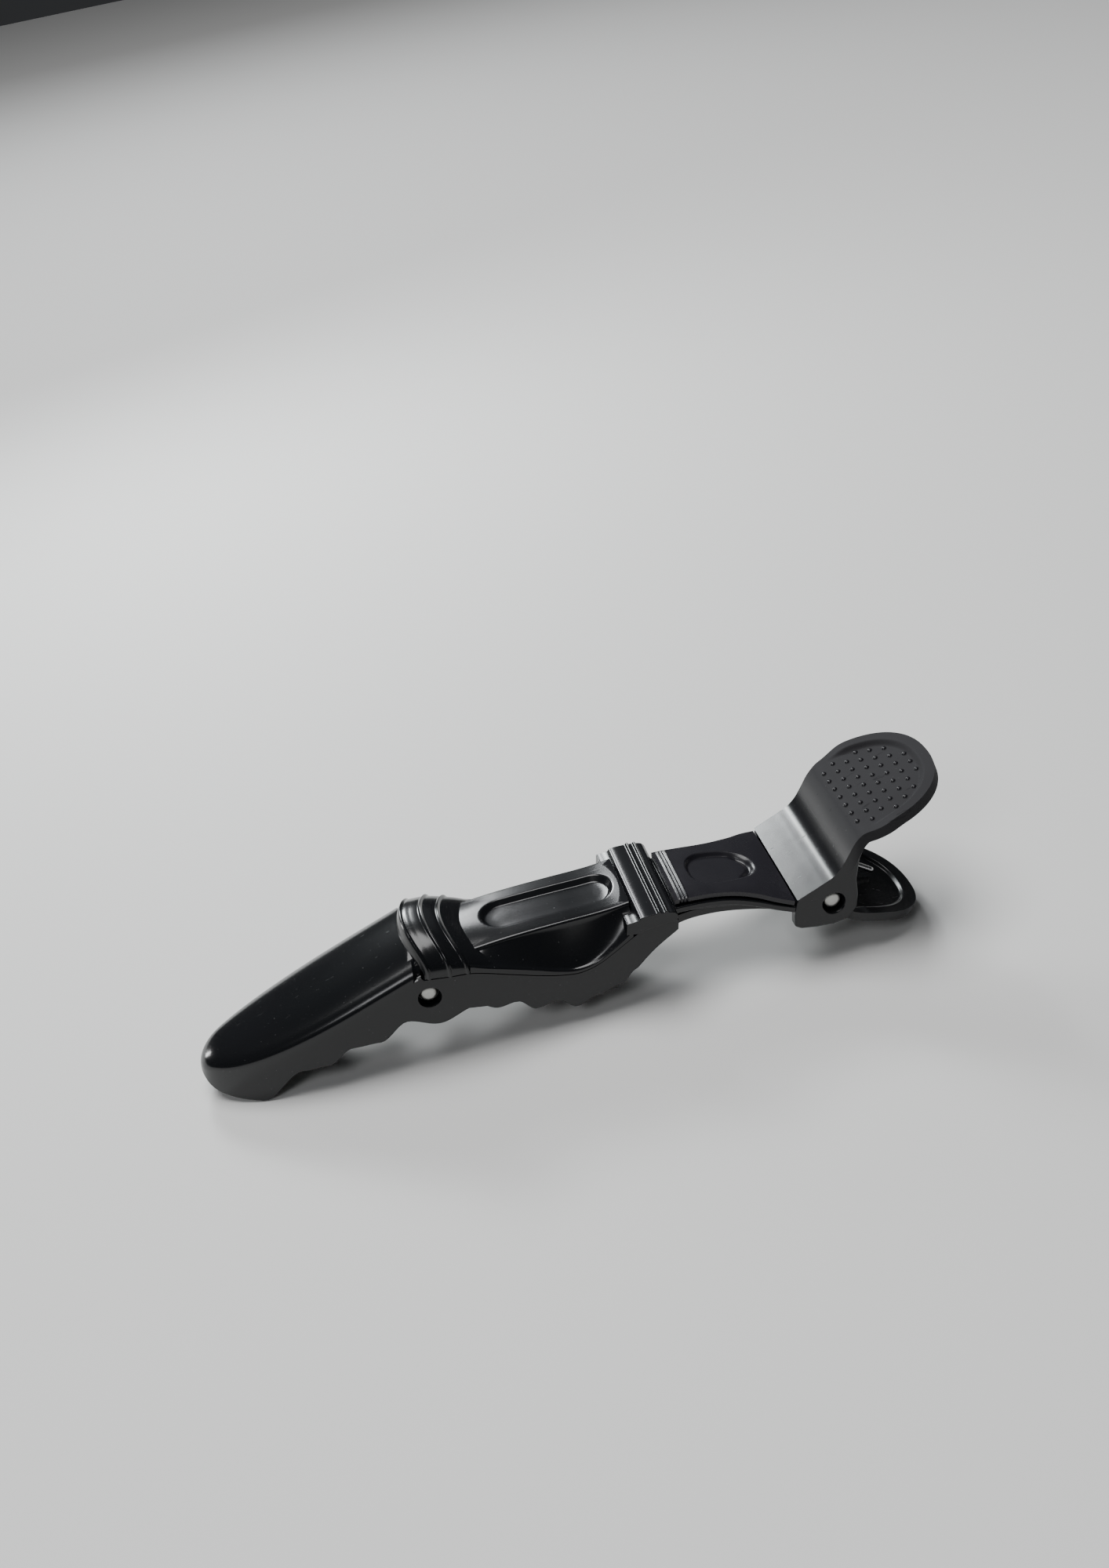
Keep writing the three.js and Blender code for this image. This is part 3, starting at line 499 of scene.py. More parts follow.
skirt_z = np.minimum(curve(parting, side_x), lip_z[:, -1:] - 0.05)
skirt_y = np.full_like(skirt_z, COVER_HALF)
side_y = np.hstack([edge_y, scoop_y, lip_y, skirt_y])
side_z = np.hstack([edge_part, scoop_z, lip_z, skirt_z])
side_grid = np.stack([np.broadcast_to(side_x, side_y.shape), side_y, side_z], axis=-1)

# %% The cover's rear end, which drops into the groove before the bar
GROOVE_Z = 0.35
end_y = np.concatenate([[-FACE_HALF], -FACE_HALF + 2 * FACE_HALF * end_turn, [FACE_HALF]])
end_steps = np.array([[0, 0], [0.12, 0.06], [0.22, 0.18], [0.3, 0.4], [0.34, 1]])
end_top = face_z(np.full_like(end_y, FACE_REAR_X), end_y)
end_grid = np.stack([
    np.broadcast_to(FACE_REAR_X + end_steps[:, :1], (len(end_steps), len(end_y))),
    np.broadcast_to(end_y, (len(end_steps), len(end_y))),
    end_top - (end_top - GROOVE_Z) * end_steps[:, 1:],
], axis=-1)
cover = make(
    "cover", [patch(face_grid, wrap=True), patch(side_grid), patch(mirrored(side_grid)), patch(end_grid)],
    "upper", wall=0.9, edge=0.12, inside=(-45, 0, -9), angle=60,
)
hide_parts("upper_lever")

# %% [markdown]
# ## The cross bar
# A solid rib across the clip with two fine ridges on top. It is one closed profile carried straight
# across, so its ends are flat and the bevel rounds them.

# %% The cross bar
BAR_HALF = 10.25
BAR_FRONT_X = -31.1
BAR_REAR_X = -25.0
bar_x = np.linspace(BAR_FRONT_X, BAR_REAR_X, 90)
bar_top = curve([(BAR_FRONT_X, 0.75), (-30.95, 1.05), (-30.6, 1.22), (-28.4, 1.6), (-26.2, 1.66),
                 (-25.5, 1.5), (BAR_REAR_X, 1.1)], bar_x)
bar_top = bar_top + RIB_HEIGHT * (bump(bar_x, -27.95, RIB_HALF) + bump(bar_x, -26.75, RIB_HALF))
under = np.array([(-25, -0.1), (-26.5, -0.25), (-29.6, -1.05), (-31.1, -1.7), (-33, -1.7), (-33, 0.3)])
bar_profile = np.concatenate([np.stack([bar_x, bar_top], 1), under])
make("cross_bar", [plate(bar_profile, -BAR_HALF, BAR_HALF)], "upper", edge=0.1, angle=75)

# %% [markdown]
# ## The arm and the strap
# Behind the bar the lever narrows to a thin curved arm, and a soft strap lies on it. The strap is a
# height field: fine ridges at its front, a shallow D-shaped dish, and a little relief cut at its rear,
# on a plan that flares to meet the panel.

# %% The arm
arm_line = [(-26.2, 0.35), (-20.5, 0.95), (-15.6, 1.0), (-10, 0.55), (-5.1, 0.05)]


def flare_half(x, front, rear):
    """Half width: straight at first, then flaring smoothly to the panel."""
    flare = curve([(-24.7, 0), (-15.5, 0.06), (-11.5, 0.38), (-9, 0.72), (-6.2, 1)], x)
    return front + (rear - front) * flare


arm_rows = np.linspace(-26.2, -5.2, 60)
arm_cols = np.linspace(-1, 1, 25)
arm_grid = np.stack([
    np.broadcast_to(arm_rows[:, None], (len(arm_rows), len(arm_cols))),
    flare_half(arm_rows, 7.5, 10.6)[:, None] * arm_cols,
    curve(arm_line, arm_rows)[:, None] - 0.25 * arm_cols ** 2,
], axis=-1)
make("arm", [patch(arm_grid)], "upper", wall=1.1, edge=0.25, inside=(-15, 0, -12))

# %% The rails under the arm's sides
arm_under = np.array([(x, float(curve(arm_line, np.array(x))) - 0.6) for x in np.linspace(-26, -5.4, 16)])
rail_depth = 1.5 * np.sin(np.linspace(0.25, pi - 0.25, 16)) ** 0.5
arm_rail = np.concatenate([arm_under, (arm_under - np.stack([0 * rail_depth, rail_depth], 1))[::-1]])
make("arm_rails", both(arm_rail, 5.6, 6.7), "upper", edge=0.2)

# %% The strap
strap_line = [(-24.7, 1.7), (-22, 1.95), (-18, 2.15), (-13.5, 2.1), (-9.5, 1.7), (-6.35, 1.3)]
strap_rows = np.linspace(-24.65, -6.35, 184)
strap_cols = np.linspace(-1, 1, 121)
strap_x = np.broadcast_to(strap_rows[:, None], (len(strap_rows), len(strap_cols)))
strap_y = flare_half(strap_rows, 7.1, 10.7)[:, None] * strap_cols
DISH_X = -17.0
DISH_POWER = 2.4
DISH_DEPTH = 0.62


def dish_depth(x, y):
    """A D-shaped dish: a superellipse that is short in front of its middle and long behind it."""
    ahead = np.where(x < DISH_X, (x - DISH_X) / 3.9, (x - DISH_X) / 7.6)
    radius = (np.abs(ahead) ** DISH_POWER + np.abs(y / 4.5) ** DISH_POWER) ** (1 / DISH_POWER)
    return DISH_DEPTH * (1 - smooth_step(0.82, 1.0, radius))


def crescent(x, y):
    """A crescent pressed a little deeper along the dish's rear wall."""
    radius = np.hypot((x + 16.4) / 6.3, y / 4.1)
    return 0.3 * bump(radius, 0.93, 0.12) * smooth_step(-13.2, -11.6, x)


strap_ridges = 0.17 * sum(bump(strap_x, x, 0.26) for x in (-23.75, -23.2, -22.65))
strap_ridges = strap_ridges * smooth_step(7.1, 6.7, np.abs(strap_y))
strap_z = (curve(strap_line, strap_rows)[:, None] + strap_ridges - dish_depth(strap_x, strap_y)
           - crescent(strap_x, strap_y) - 0.22 * strap_cols ** 4)
strap = make("strap_band", [patch(np.stack([strap_x, strap_y, strap_z], axis=-1))], "upper",
             wall=0.8, edge=0.2, inside=(-15, 0, -12))
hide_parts("strap")

# %% [markdown]
# ## The handle
# Panel, neck and thumb pad are one thick moulding. Its side line is a smooth path, its plan is straight
# and then round, and the pad's free end carries a raised rim round a field of small dots. The dots are
# separate little domes of a few faces each, laid out on a staggered lattice inside the rim.

# %% The handle's lines
HANDLE_HALF = 11.0
PAD_HALF = 12.1
PAD_END_X = 17.6
PAD_ROUND = 11.5
PAD_POWER = 2.3
NECK_X = 2.6
RIM_HEIGHT = 0.75
RIM_INSET = 2.3
LAST_TURN = 1.547
LEAST_HALF = 0.7
handle_line = [(-6.1, 1.4), (-4.1, 2.65), (-2.2, 3.84), (-0.7, 4.85), (0.5, 6.3), (1.5, 8.4), (2.4, 10.5),
               (3.6, 12.1), (5.4, 13.1), (9, 14.75), (13.3, 16.7), (17.6, 18.65)]


def pad_half(x, neck, pad, neck_x, end_x, length):
    """Plan of a thumb pad: it widens from the neck and closes in a superellipse."""
    widen = smooth_step(neck_x, neck_x + 5, x)
    close = squircle(np.clip((x - (end_x - length)) / length, 0, 1), PAD_POWER)
    return (neck + (pad - neck) * widen) * close


def rim_of(x, y, half, end_x, length, inset):
    """1 on the rim and 0 inside it, from the distance to the outline of the pad's free end."""
    share = np.clip((x - (end_x - length)) / length, 0, 1)
    radius = (share ** PAD_POWER + np.abs(y / half) ** PAD_POWER) ** (1 / PAD_POWER)
    return smooth_step(1 - inset / half, 1 - (inset - 0.8) / half, radius)


def pad_grid(line, neck, pad, neck_x, end_x, length, steps=150, columns=121):
    """x, y and z of a handle's face before its rim: the line along x, closer together at the end."""
    share = np.sin(np.linspace(0, LAST_TURN, steps)) / sin(LAST_TURN)
    start = line[0][0]
    path = path_through(line, 400)
    x = start + (end_x - start) * share
    z = np.interp(x, path[:, 0], path[:, 1])
    half = np.maximum(pad_half(x, neck, pad, neck_x, end_x, length), LEAST_HALF)
    y = half[:, None] * np.sin(np.linspace(-pi / 2, pi / 2, columns) * 0.999) / sin(pi / 2 * 0.999)
    return np.broadcast_to(x[:, None], y.shape), y, np.broadcast_to(z[:, None], y.shape)


# %% The handle
handle_plan = HANDLE_HALF, PAD_HALF, NECK_X, PAD_END_X, PAD_ROUND
handle_x, handle_y, handle_z = pad_grid(handle_line, *handle_plan)
rim = rim_of(handle_x, handle_y, PAD_HALF, PAD_END_X, PAD_ROUND, RIM_INSET)
rim = rim * smooth_step(4.5, 9, handle_x)  # the rim fades out towards the neck
handle_face = np.stack([handle_x, handle_y, handle_z + RIM_HEIGHT * rim * smooth_step(3, 8, handle_x)], -1)
make("handle", [patch(handle_face)], "upper", wall=1.9, edge=0.45, inside=(6, 0, -60),
     angle=60, even=False)

# %% The dots
DOT_RADIUS = 0.46
DOT_HEIGHT = 0.27
DOT_COLUMN = 2.0
DOT_PITCH = 2.5
(slope_x, slope_z), (end_x, end_z) = handle_line[-3], handle_line[-1]
pad_slope = (end_z - slope_z) / (end_x - slope_x)
dot_rings = np.array([[1.0, -0.3], [0.86, 0.45], [0.55, 0.83], [0, 1]])
around = np.linspace(0, 2 * pi, 9)[:-1]
dome = np.stack([
    dot_rings[:, :1] * np.cos(around) * DOT_RADIUS,
    dot_rings[:, :1] * np.sin(around) * DOT_RADIUS,
    np.broadcast_to(dot_rings[:, 1:] * DOT_HEIGHT, (len(dot_rings), len(around))),
], axis=-1)
dots = []
line_path = path_through(handle_line, 400)
for column in range(8):
    x = 4.0 + DOT_COLUMN * column * cos(atan2(pad_slope, 1)) * 1.02
    z = np.interp(x, line_path[:, 0], line_path[:, 1])
    half = float(pad_half(np.array(x), *handle_plan))
    shift = DOT_PITCH / 2 if column % 2 else 0
    for y in np.arange(-4, 5) * DOT_PITCH + shift:
        near_rim = rim_of(np.array(x), np.array(y), PAD_HALF, PAD_END_X, PAD_ROUND, RIM_INSET + 0.3)
        if near_rim < 0.2 and abs(y) < half - 1.7:
            dots.append(patch(dome + [x, y, z], wrap=True))
print(len(dots), "dots")
make("thumb_pad_dots", dots, "upper", edge=0)

# %% [markdown]
# ## The hinge lugs
# Two flat cheeks hang from the panel and hold the pin in a round hole, whose pin end sits a little
# below the face. The outline has straight runs and round corners only.

# %% The hinge lugs
lug_line = [(-6.05, 1.1), (-6.25, -1.6), (-6.1, -3.6), (-5.0, -4.1), (-2.5, -4.15), (0.3, -3.95),
            (2.6, -3.2), (3.9, -1.2), (3.9, 1.2), (3.4, 4.0), (3.55, 7.6), (4.6, 11.1), (3.2, 11.3),
            (1.5, 8.1), (0.4, 5.9), (-0.8, 4.5), (-3.0, 3.05)]
make("hinge_lugs", both(lug_line, 9.05, 10.95), "upper", edge=0.3, holes=[(0, 0, 1.8)],
     angle=30)

# %% [markdown]
# ## The lower lever
# Seen from the side it is a second thumb pad with two lugs, a thin bridge that passes under the arm,
# and a toothed trough that closes into the front jaw. Pad and trough are grids with a wall; bridge and
# lugs are outlines carried across.

# %% The lower thumb pad
LOWER_HALF = 11.1
LOWER_END_X = 17.3
LOWER_ROUND = 11.5
lower_line = [(-4.6, -3.35), (-1.5, -3.35), (1.6, -3.2), (3.8, -2.8), (7, -3.45), (12, -4.6),
              (LOWER_END_X, -5.8)]
lower_x, lower_y, lower_z = pad_grid(lower_line, 8.6, LOWER_HALF, 1.2, LOWER_END_X, LOWER_ROUND)
lower_rim = rim_of(lower_x, lower_y, LOWER_HALF, LOWER_END_X, LOWER_ROUND, 2.6)
lower_rim = lower_rim * smooth_step(3.6, 6.5, lower_x)
dished = 0.55 * lower_rim + 0.35 * smooth_step(4, 10, lower_x) * (lower_y / LOWER_HALF) ** 2
lower_face = np.stack([lower_x, lower_y, lower_z + dished], axis=-1)
make("lower_thumb_pad", [patch(lower_face)], "lower", wall=1.5, edge=0.4,
     inside=(6, 0, -60), angle=60, even=False)

# %% The lower lugs
lower_lug = [(-2.9, 0.6), (-2.1, 2.1), (0, 2.95), (2.1, 2.1), (2.9, 0.4), (3.3, -1.6), (4.4, -3.2),
             (1.2, -4.2), (-3.4, -4.0), (-3.2, -1.6)]
make("lower_lugs", both(lower_lug, 7.0, 8.65), "lower", edge=0.25, holes=[(0, 0, BORE_RADIUS)],
     angle=30)

# %% The bridge
bridge_top = path_through([(-34.5, -9.9), (-31, -7.6), (-27.5, -4.6), (-23.3, -2.5), (-18.5, -1.65),
                           (-10, -1.85), (-4.6, -3.35)], 40)
bridge_low = path_through([(-4.6, -4.65), (-10.5, -3.5), (-18.5, -3.3), (-23.5, -4.5), (-27, -7.7),
                           (-31.5, -11.3), (-34.5, -12.4)], 40)
BRIDGE_HALF = 5.15
make("bridge", [plate(np.concatenate([bridge_top, bridge_low]), -BRIDGE_HALF, BRIDGE_HALF)], "lower",
     edge=0.3, angle=50)

# %% The lower jaw
TROUGH_HALF = 7.65
TROUGH_TIP = -94.0
TROUGH_LENGTH = 60.6
TROUGH_ROUND = 22
trough_rows = TROUGH_TIP + TROUGH_LENGTH * (1 - np.cos(np.linspace(0, pi / 2, 130)))
trough_share = np.clip(1 - (trough_rows - TROUGH_TIP) / TROUGH_ROUND, 0, 1)
trough_half = np.maximum(TROUGH_HALF * squircle(trough_share, NOSE_POWER), 0.01)
under_z = curve([(-94, -24.9), (-88, -22.4), (-80, -19.3), (-72, -16.6), (-66, -14.4), (-62, -13.9),
                 (-50, -13.8), (-33.4, -13.4)], trough_rows)
inner_teeth = [(-94, -23.3), (-90, -21.3), (-86, -19.9), (-81, -16.7), (-77, -15.4), (-72.5, -13.0),
               (-70, -12.0), (-67, -12.1), (-60, -12.1), (-57.5, -9.8), (-54, -10.5), (-50, -9.7),
               (-46.5, -10.5), (-43, -9.7), (-39.5, -10.5), (-36, -9.8), (-33.4, -11)]
trough_top = np.maximum(waved(inner_teeth, trough_rows), under_z + 0.6)
# across the trough: down the near wall, over the floor with its rounded corners, up the far wall
FOOT_SHARE = 0.08
floor_turn = np.cos(np.linspace(pi, 0, 15))[1:-1]
across = np.concatenate([np.full(7, -1.0), floor_turn, np.full(7, 1.0)])
height = np.concatenate([np.linspace(1, FOOT_SHARE, 7), FOOT_SHARE * np.abs(floor_turn) ** 4,
                         np.linspace(FOOT_SHARE, 1, 7)])
trough_y = trough_half[:, None] * across
trough_z = under_z[:, None] + (trough_top - under_z)[:, None] * height
trough_grid = np.stack([np.broadcast_to(trough_rows[:, None], trough_y.shape), trough_y, trough_z], -1)
lower_jaw = make("lower_jaw", [patch(trough_grid)], "lower", wall=1.1, edge=0.2,
                 inside=(-60, 0, 20), angle=50)
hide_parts("lower_lever")

# %% The ears that hold the front pin
EAR_RADIUS = 2.3
ear_turn = np.linspace(-pi, 0, 25)
ear_bottom = FRONT_PIN + EAR_RADIUS * np.stack([np.cos(ear_turn), np.sin(ear_turn)], axis=1)
ear_top = np.array([(FRONT_PIN[0] + EAR_RADIUS, -3.2), (FRONT_PIN[0] - 1.2, -2.9),
                    (FRONT_PIN[0] - EAR_RADIUS, -4.4)])
make("pin_ears", both(np.concatenate([ear_bottom, ear_top]), 6.0, 7.8), "upper", edge=0.2,
     holes=[(*FRONT_PIN, BORE_RADIUS)], angle=30)

# %% [markdown]
# ## Pins and spring
# Each pin is a turned profile: a straight shank whose ends are chamfered and slightly domed. The spring
# is one wire: a leg, four turns and another leg, swept with a ring. It runs from the upper lever to
# the lower one along the pin.

# %% The pins


def turned_pin(name, centre, radius, half, node):
    """A profile of distance along y and radius, turned about the pin's axis."""
    profile = np.array([[-half, 0], [-half + 0.03, 0.55 * radius], [-half + 0.1, 0.8 * radius],
                        [-half + 0.28, 0.97 * radius], [-half + 0.4, radius]])
    profile = np.concatenate([profile, profile[::-1] * [-1, 1]])
    turn = np.linspace(0, 2 * pi, 41)[:-1]
    grid = np.stack([
        centre[0] + profile[:, 1:] * np.cos(turn),
        np.broadcast_to(profile[:, :1], (len(profile), len(turn))),
        centre[1] + profile[:, 1:] * np.sin(turn),
    ], axis=-1)
    pin = make(name, [patch(grid, wrap=True)], "upper", edge=0)
    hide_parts(node)


PIN_RADIUS = 1.4
turned_pin("main_hinge_pin", (0, 0), PIN_RADIUS, 10.2, "main_pin")
turned_pin("front_hinge_pin", FRONT_PIN, PIN_RADIUS, 8.7, "front_pin")

# %% The spring
WIRE_RADIUS = 0.5
COIL_RADIUS = 2.45
TURNS = 4
TURN_PITCH = 1.15
upper_angle = radians(30)
lower_angle = radians(10)
start_turn = upper_angle + pi / 2
sweep = 2 * pi * TURNS + lower_angle - pi / 2 - start_turn
coil_width = sweep / (2 * pi) * TURN_PITCH
share = np.linspace(0, 1, 48 * TURNS)
coil = np.stack([
    COIL_RADIUS * np.cos(start_turn + sweep * share),
    coil_width * (share - 0.5),
    COIL_RADIUS * np.sin(start_turn + sweep * share),
], axis=1)


def leg(start, direction, foot, y):
    """A leg that leaves the coil straight, bends, and ends at its foot on the lever."""
    a = start + 3.2 * direction
    b = start + 6 * direction
    flat = path_through([start, a, b, (b + foot) / 2 + 0.3 * direction, foot], 40)
    return np.stack([flat[:, 0], np.full(len(flat), y), flat[:, 1]], axis=1)


upper_foot = np.array([6.0, 10.25])
lower_foot = np.array([11.4, -3.55])
upper_leg = leg(coil[0, ::2], np.array([cos(upper_angle), sin(upper_angle)]), upper_foot, coil[0, 1])
lower_leg = leg(coil[-1, ::2], np.array([cos(lower_angle), sin(lower_angle)]), lower_foot, coil[-1, 1])
wire_path = np.concatenate([upper_leg[::-1][:-1], coil, lower_leg[1:]])


def swept(path, radius, sides=12):
    """A ring carried along a path; its frame turns as little as it can from point to point."""
    along = np.gradient(path, axis=0)
    along /= np.linalg.norm(along, axis=1)[:, None]
    side = np.array([0.0, 1.0, 0.0]) - along * along[:, 1:2]
    side /= np.linalg.norm(side, axis=1)[:, None]
    other = np.cross(along, side)
    turn = np.linspace(0, 2 * pi, sides, endpoint=False)[None, :, None]
    return path[:, None] + radius * (np.cos(turn) * side[:, None] + np.sin(turn) * other[:, None])


spring = make("torsion_spring", [carried(swept(wire_path, WIRE_RADIUS))], None, edge=0)
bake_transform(spring)
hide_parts("spring_coil", "spring_upper_leg", "spring_lower_leg")

# %% [markdown]
# ## Finishes
# The mouldings are glossy black ABS. Under soft light it is never one colour: flow marks make the gloss
# wander, fine swirls scratch it and dust settles on it. The nodes are written as sums: a small class
# wraps a socket, so that an expression adds its Math nodes, and any other node comes from one method.

# %% Shader sums


class Wire:
    """A socket of a finish. Sums on it add Math nodes."""

    def __init__(self, finish, socket):
        self.finish = finish
        self.socket = socket

    def math(self, operation, first, second):
        """A Math node that works on two values or sockets."""
        return self.finish.add("ShaderNodeMath", {"operation": operation}, {0: first, 1: second})

    def __add__(self, other):
        return self.math("ADD", self, other)

    def __sub__(self, other):
        return self.math("SUBTRACT", self, other)

    def __rsub__(self, other):
        return self.math("SUBTRACT", other, self)

    def __mul__(self, other):
        return self.math("MULTIPLY", self, other)

    __radd__ = __add__
    __rmul__ = __mul__


class Finish:
    """A material with one Principled shader, built node by node."""

    def __init__(self, name, **constants):
        self.material = bpy.data.materials.new(name)
        self.material.use_nodes = True
        self.tree = self.material.node_tree
        self.shader = self.tree.nodes["Principled BSDF"]
        for socket, value in constants.items():
            self.shader.inputs[socket.replace("_", " ")].default_value = value
        self.where = self.add("ShaderNodeTexCoord", {}, {}, "Object")

    def add(self, kind, settings, inputs, output=0):
        """A node of a type: its settings first, then the values or links of its sockets."""
        node = self.tree.nodes.new(kind)
        for key, value in settings.items():
            if key == "stops":
                for stop, (position, level) in zip(node.color_ramp.elements, value):
                    stop.position = position
                    stop.color = (level, level, level, 1)
            else:
                setattr(node, key, value)
        for key, value in inputs.items():
            if isinstance(value, Wire):
                self.tree.links.new(value.socket, node.inputs[key])
            else:
                node.inputs[key].default_value = value
        return Wire(self, node.outputs[output])

    def noise(self, scale, detail=2.0, roughness=0.5, stretch=(1, 1, 1)):
        """Noise in the object's own coordinates; scale counts features per metre."""
        spot = self.add("ShaderNodeMapping", {}, {"Vector": self.where, "Scale": stretch})
        return self.add("ShaderNodeTexNoise", {}, {
            "Vector": spot, "Scale": scale, "Detail": detail, "Roughness": roughness})

    def ramp(self, wire, low, high):
        """0 below low, 1 above high."""
        return self.add("ShaderNodeValToRGB", {"stops": [(low, 0), (high, 1)]}, {"Fac": wire})

    def blend(self, factor, first, second):
        """A mix of two colours: the first at factor 0, the second at factor 1."""
        return self.add("ShaderNodeMix", {"data_type": "RGBA"}, {0: factor, 6: first, 7: second}, 2)

    def out(self, socket, wire):
        """Feeds a socket of the shader."""
        self.tree.links.new(wire.socket, self.shader.inputs[socket])

    def relief(self, height, distance):
        """Bump from a height of 0 to 1 that stands for distance metres."""
        bumped = self.add("ShaderNodeBump", {}, {"Strength": 1.0, "Distance": distance, "Height": height})
        self.out("Normal", bumped)


# %% [markdown]
# Gloss black needs four layers: a base that drifts between cool green and violet black, a gloss that
# wanders with the flow of the plastic, hairline scratches, and dust. Scratches are thin bands of a noise
# stretched along the clip; dust is the tips of a fine noise, lighter and rougher than the plastic.

# %% Gloss black
PLASTIC_IOR = 1.48


def gloss_black(name, dark, light, gloss, dust_amount, satin_from=None, satin_to=None):
    """Gloss black that may turn satin and violet between two places along the clip, in millimetres."""
    finish = Finish(name, IOR=PLASTIC_IOR)
    flow = finish.noise(70, 3, 0.55, (0.4, 1, 1))
    tint = finish.noise(25, 2)
    body_colour = finish.blend(tint, dark, light)
    fine = finish.noise(2600, 2, 0.6)
    dust = finish.ramp(fine, 0.73, 0.76) * dust_amount
    satin = 0.0
    if satin_from is not None:
        low, high = place([satin_from, 0, 9])[0], place([satin_to, 0, 11])[0]
        along = finish.add("ShaderNodeSeparateXYZ", {}, {0: finish.where})
        satin = finish.ramp((along - low) * (1 / (high - low)), 0, 1)
        body_colour = finish.blend(satin, body_colour, (0.0065, 0.006, 0.0085, 1))
    finish.out("Base Color", finish.blend(dust, body_colour, (0.16, 0.16, 0.165, 1)))
    scratch_noise = finish.noise(900, 3, 0.6, (0.05, 1, 1))
    scratch = finish.ramp(scratch_noise, 0.67, 0.71)
    finish.out("Roughness", gloss + 0.12 * flow + 0.1 * scratch + 0.35 * dust + 0.58 * satin)
    ripple = finish.noise(160, 2, 0.5)
    finish.relief(ripple * 0.9 + dust * 0.1, 0.00002)
    return finish.material


DEEP, LIFTED = (0.0045, 0.006, 0.0065, 1), (0.009, 0.0085, 0.0105, 1)
lever_black = gloss_black("gloss_black", DEEP, LIFTED, 0.13, 0.4)
handle_black = gloss_black("handle_black", DEEP, LIFTED, 0.16, 0.3, 0.6, 3.2)

# %% [markdown]
# The real thumb pad is spark-eroded, so it is satin, a little lighter and violet: the handle's finish
# above turns to that past the neck, which stays smooth. The pad's dots and the strap get a fine grain that
# breaks the reflections up, and a few worn places that shine more.

# %% Pad and strap


def satin_black(name, dark, light, gloss, grain_scale, grain_height):
    """Black with a fine grain and a few worn places that shine more. Grain height is in metres."""
    finish = Finish(name, IOR=PLASTIC_IOR)
    tint = finish.noise(60, 3)
    grain = finish.noise(grain_scale, 3, 0.65)
    wear = finish.ramp(finish.noise(140, 4, 0.6), 0.5, 0.75)
    finish.out("Base Color", finish.blend(tint * 0.6 + grain * 0.4, dark, light))
    finish.out("Roughness", gloss + 0.16 * grain - 0.08 * wear)
    finish.relief(grain, grain_height)
    return finish.material


pad_black = satin_black("pad_black", (0.007, 0.0065, 0.009, 1), (0.011, 0.0105, 0.014, 1),
                        0.3, 1500, 0.000004)
strap_black = satin_black("strap_black", (0.0095, 0.009, 0.012, 1), (0.015, 0.014, 0.0185, 1),
                          0.2, 300, 0.000005)

# %% [markdown]
# Pins and spring are drawn steel: a metal, so its colour is its reflection. Fine streaks, which run along
# the shank of a pin, and cloudy stains make it darker and duller in places.

# %% Steel


def steel(name, colour, worn, gloss, stretch):
    """Bare steel with streaks and stains."""
    finish = Finish(name, Metallic=1.0)
    streak = finish.noise(1800, 3, 0.6, stretch)
    stain = finish.ramp(finish.noise(500, 3), 0.45, 0.8)
    finish.out("Base Color", finish.blend(stain * 0.7, colour, worn))
    finish.out("Roughness", gloss + 0.2 * streak + 0.12 * stain)
    finish.relief(streak, 0.00002)
    return finish.material


pin_steel = steel("pin_steel", (0.46, 0.46, 0.44, 1), (0.24, 0.235, 0.22, 1), 0.26, (1, 0.15, 1))
spring_steel = steel("spring_steel", (0.56, 0.56, 0.57, 1), (0.36, 0.34, 0.31, 1), 0.18, (1, 1, 1))

# %% Finishes on the pieces
looks = {
    "handle": handle_black, "thumb_pad_dots": pad_black, "strap_band": strap_black,
    "main_hinge_pin": pin_steel, "front_hinge_pin": pin_steel, "torsion_spring": spring_steel,
}
for name, piece in made.items():
    piece.data.materials.clear()
    piece.data.materials.append(looks.get(name, lever_black))
print(len(made), "pieces finished")

# %% [markdown]
# ## Stage, light and camera
# Black gloss shows its lights more than its colour, so seven soft lights each draw one reflection: a
# window and its bright core in the panel by the strap, a strip on the ridges, a card on the faces that
# lean back, a broad light overhead, a weak fill in front and a faint wide card behind. The floor is pale.
# The camera looks down by thirty degrees at the near side of the clip.

# %% Stage
floor_mesh = bpy.data.meshes.new("floor")
FLOOR = 1.5
floor_mesh.from_pydata(
    [(-FLOOR, -FLOOR, 0), (FLOOR, -FLOOR, 0), (FLOOR, FLOOR, 0), (-FLOOR, FLOOR, 0)], [], [(0, 1, 2, 3)])
floor = bpy.data.objects.new("floor", floor_mesh)
bpy.context.scene.collection.objects.link(floor)
floor_paint = Finish("floor_paint", Roughness=0.7, Base_Color=(0.78, 0.78, 0.77, 1))
floor_mesh.materials.append(floor_paint.material)

# %% Light


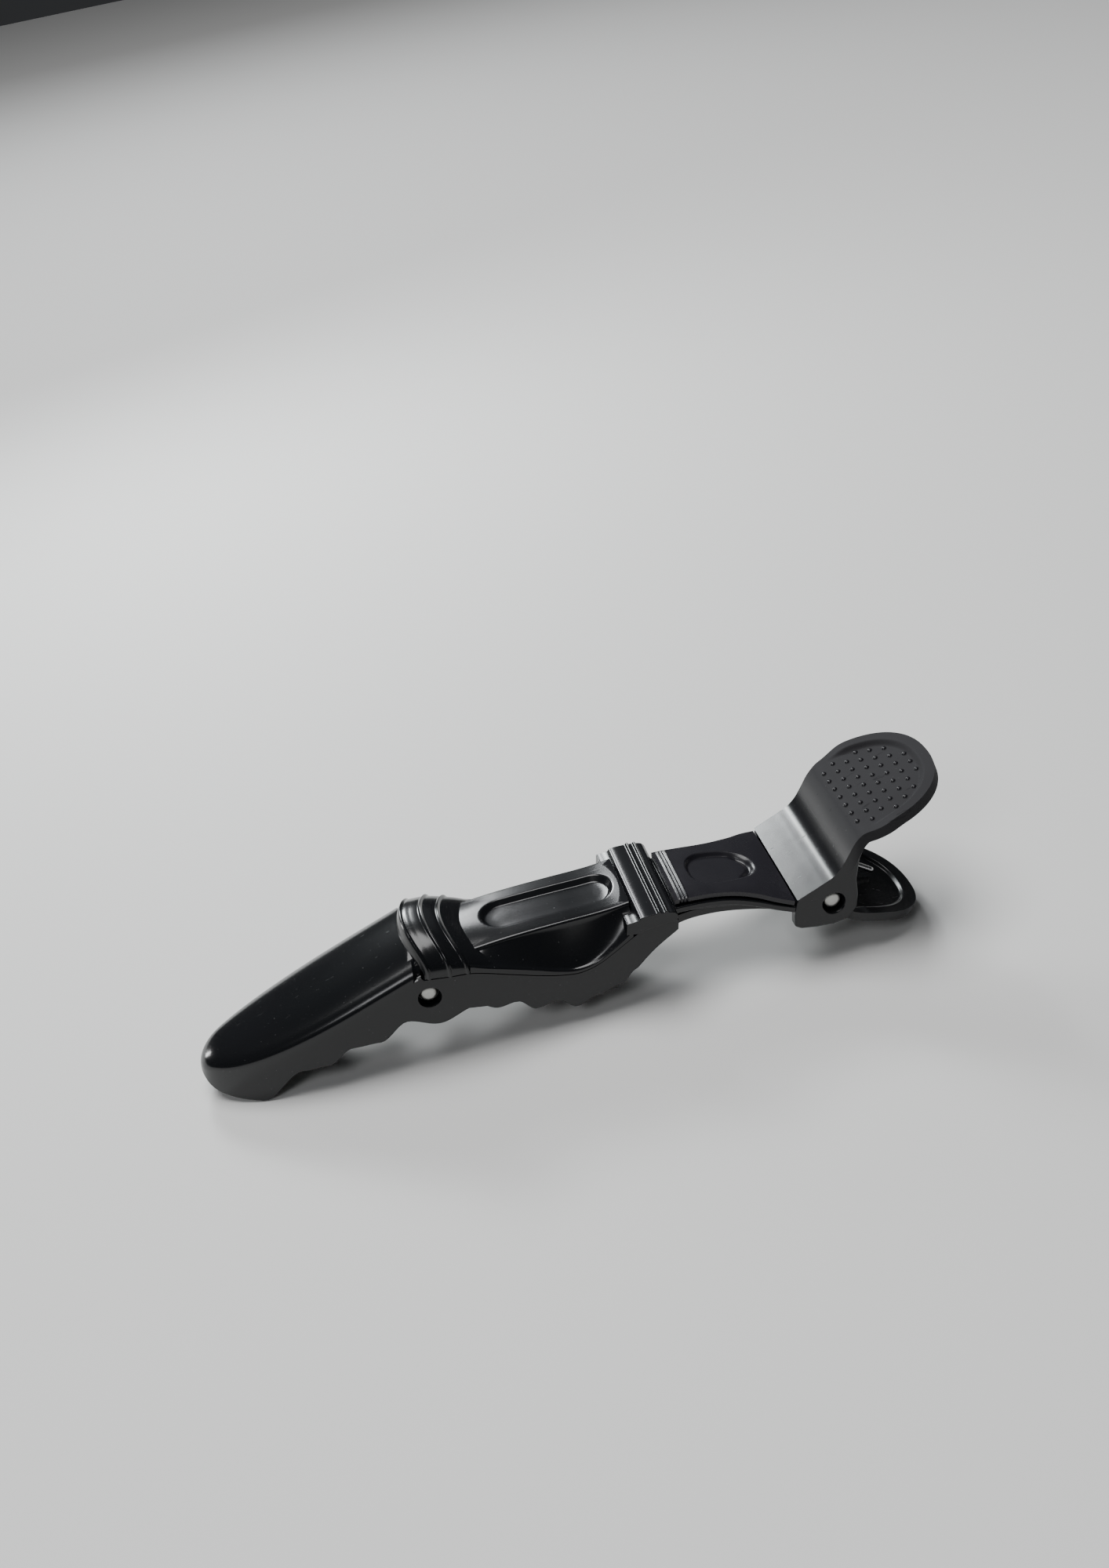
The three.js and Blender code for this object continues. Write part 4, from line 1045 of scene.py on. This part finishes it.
def soft_light(name, position, target, width, height, power, colour=(1, 1, 1)):
    """A rectangular light that faces its target. Places are in metres in the frame."""
    data = bpy.data.lights.new(name, "AREA")
    data.shape = "RECTANGLE"
    data.size = width
    data.size_y = height
    data.energy = power
    data.color = colour
    lamp = bpy.data.objects.new(name, data)
    bpy.context.scene.collection.objects.link(lamp)
    lamp.location = position
    lamp.rotation_euler = (Vector(target) - Vector(position)).to_track_quat("-Z", "Y").to_euler()


CENTRE = (0, 0, 0)
panel_spot = Vector(place([-3, 0, 3.3]))
soft_light("window", panel_spot + Vector((-0.115, 0.313, 0.172)), panel_spot, 0.1, 0.06, 0.5,
           (0.93, 0.98, 1))
soft_light("window_core", panel_spot + Vector((-0.122, 0.311, 0.165)), panel_spot, 0.03, 0.02, 0.06,
           (1, 1, 0.88))
soft_light("ridge_strip", (-0.7, 0.66, 0.14), CENTRE, 0.07, 0.2, 1.1)
soft_light("rear_card", (-0.055, 0.85, 0.53), CENTRE, 0.1, 0.3, 2.2, (0.95, 0.98, 1))
soft_light("overhead", (-0.15, 0.15, 1.1), CENTRE, 0.9, 0.6, 13)
soft_light("front_fill", (-0.3, -0.45, 0.5), CENTRE, 0.2, 0.2, 0.9, (0.97, 0.98, 1))
soft_light("back_card", (0.12, 0.9, 0.5), CENTRE, 0.9, 0.4, 0.2, (0.9, 0.94, 1))

# %% World
world = bpy.data.worlds.new("studio")
bpy.context.scene.world = world
world.use_nodes = True
sky = world.node_tree.nodes["Background"].inputs
sky["Color"].default_value = (0.55, 0.57, 0.6, 1)
sky["Strength"].default_value = 0.05

# %% Camera
EYE = (-91.36, -225.77, 153.81)
FORWARD = (0.18472, 0.84610, -0.5)
UPWARD = (0.10664, 0.48850, 0.86603)
camera_data = bpy.data.cameras.new("camera")
camera_data.sensor_fit = "VERTICAL"
camera_data.sensor_height = 36
camera_data.lens = 40.735
camera_data.clip_start = 0.01
camera = bpy.data.objects.new("camera", camera_data)
bpy.context.scene.collection.objects.link(camera)
back = -Vector(turned(FORWARD)).normalized()
upward = Vector(turned(UPWARD)).normalized()
rightward = upward.cross(back).normalized()
facing = Matrix((rightward, back.cross(rightward), back)).transposed()
camera.matrix_world = Matrix.Translation(Vector(place(EYE))) @ facing.to_4x4()
bpy.context.scene.camera = camera
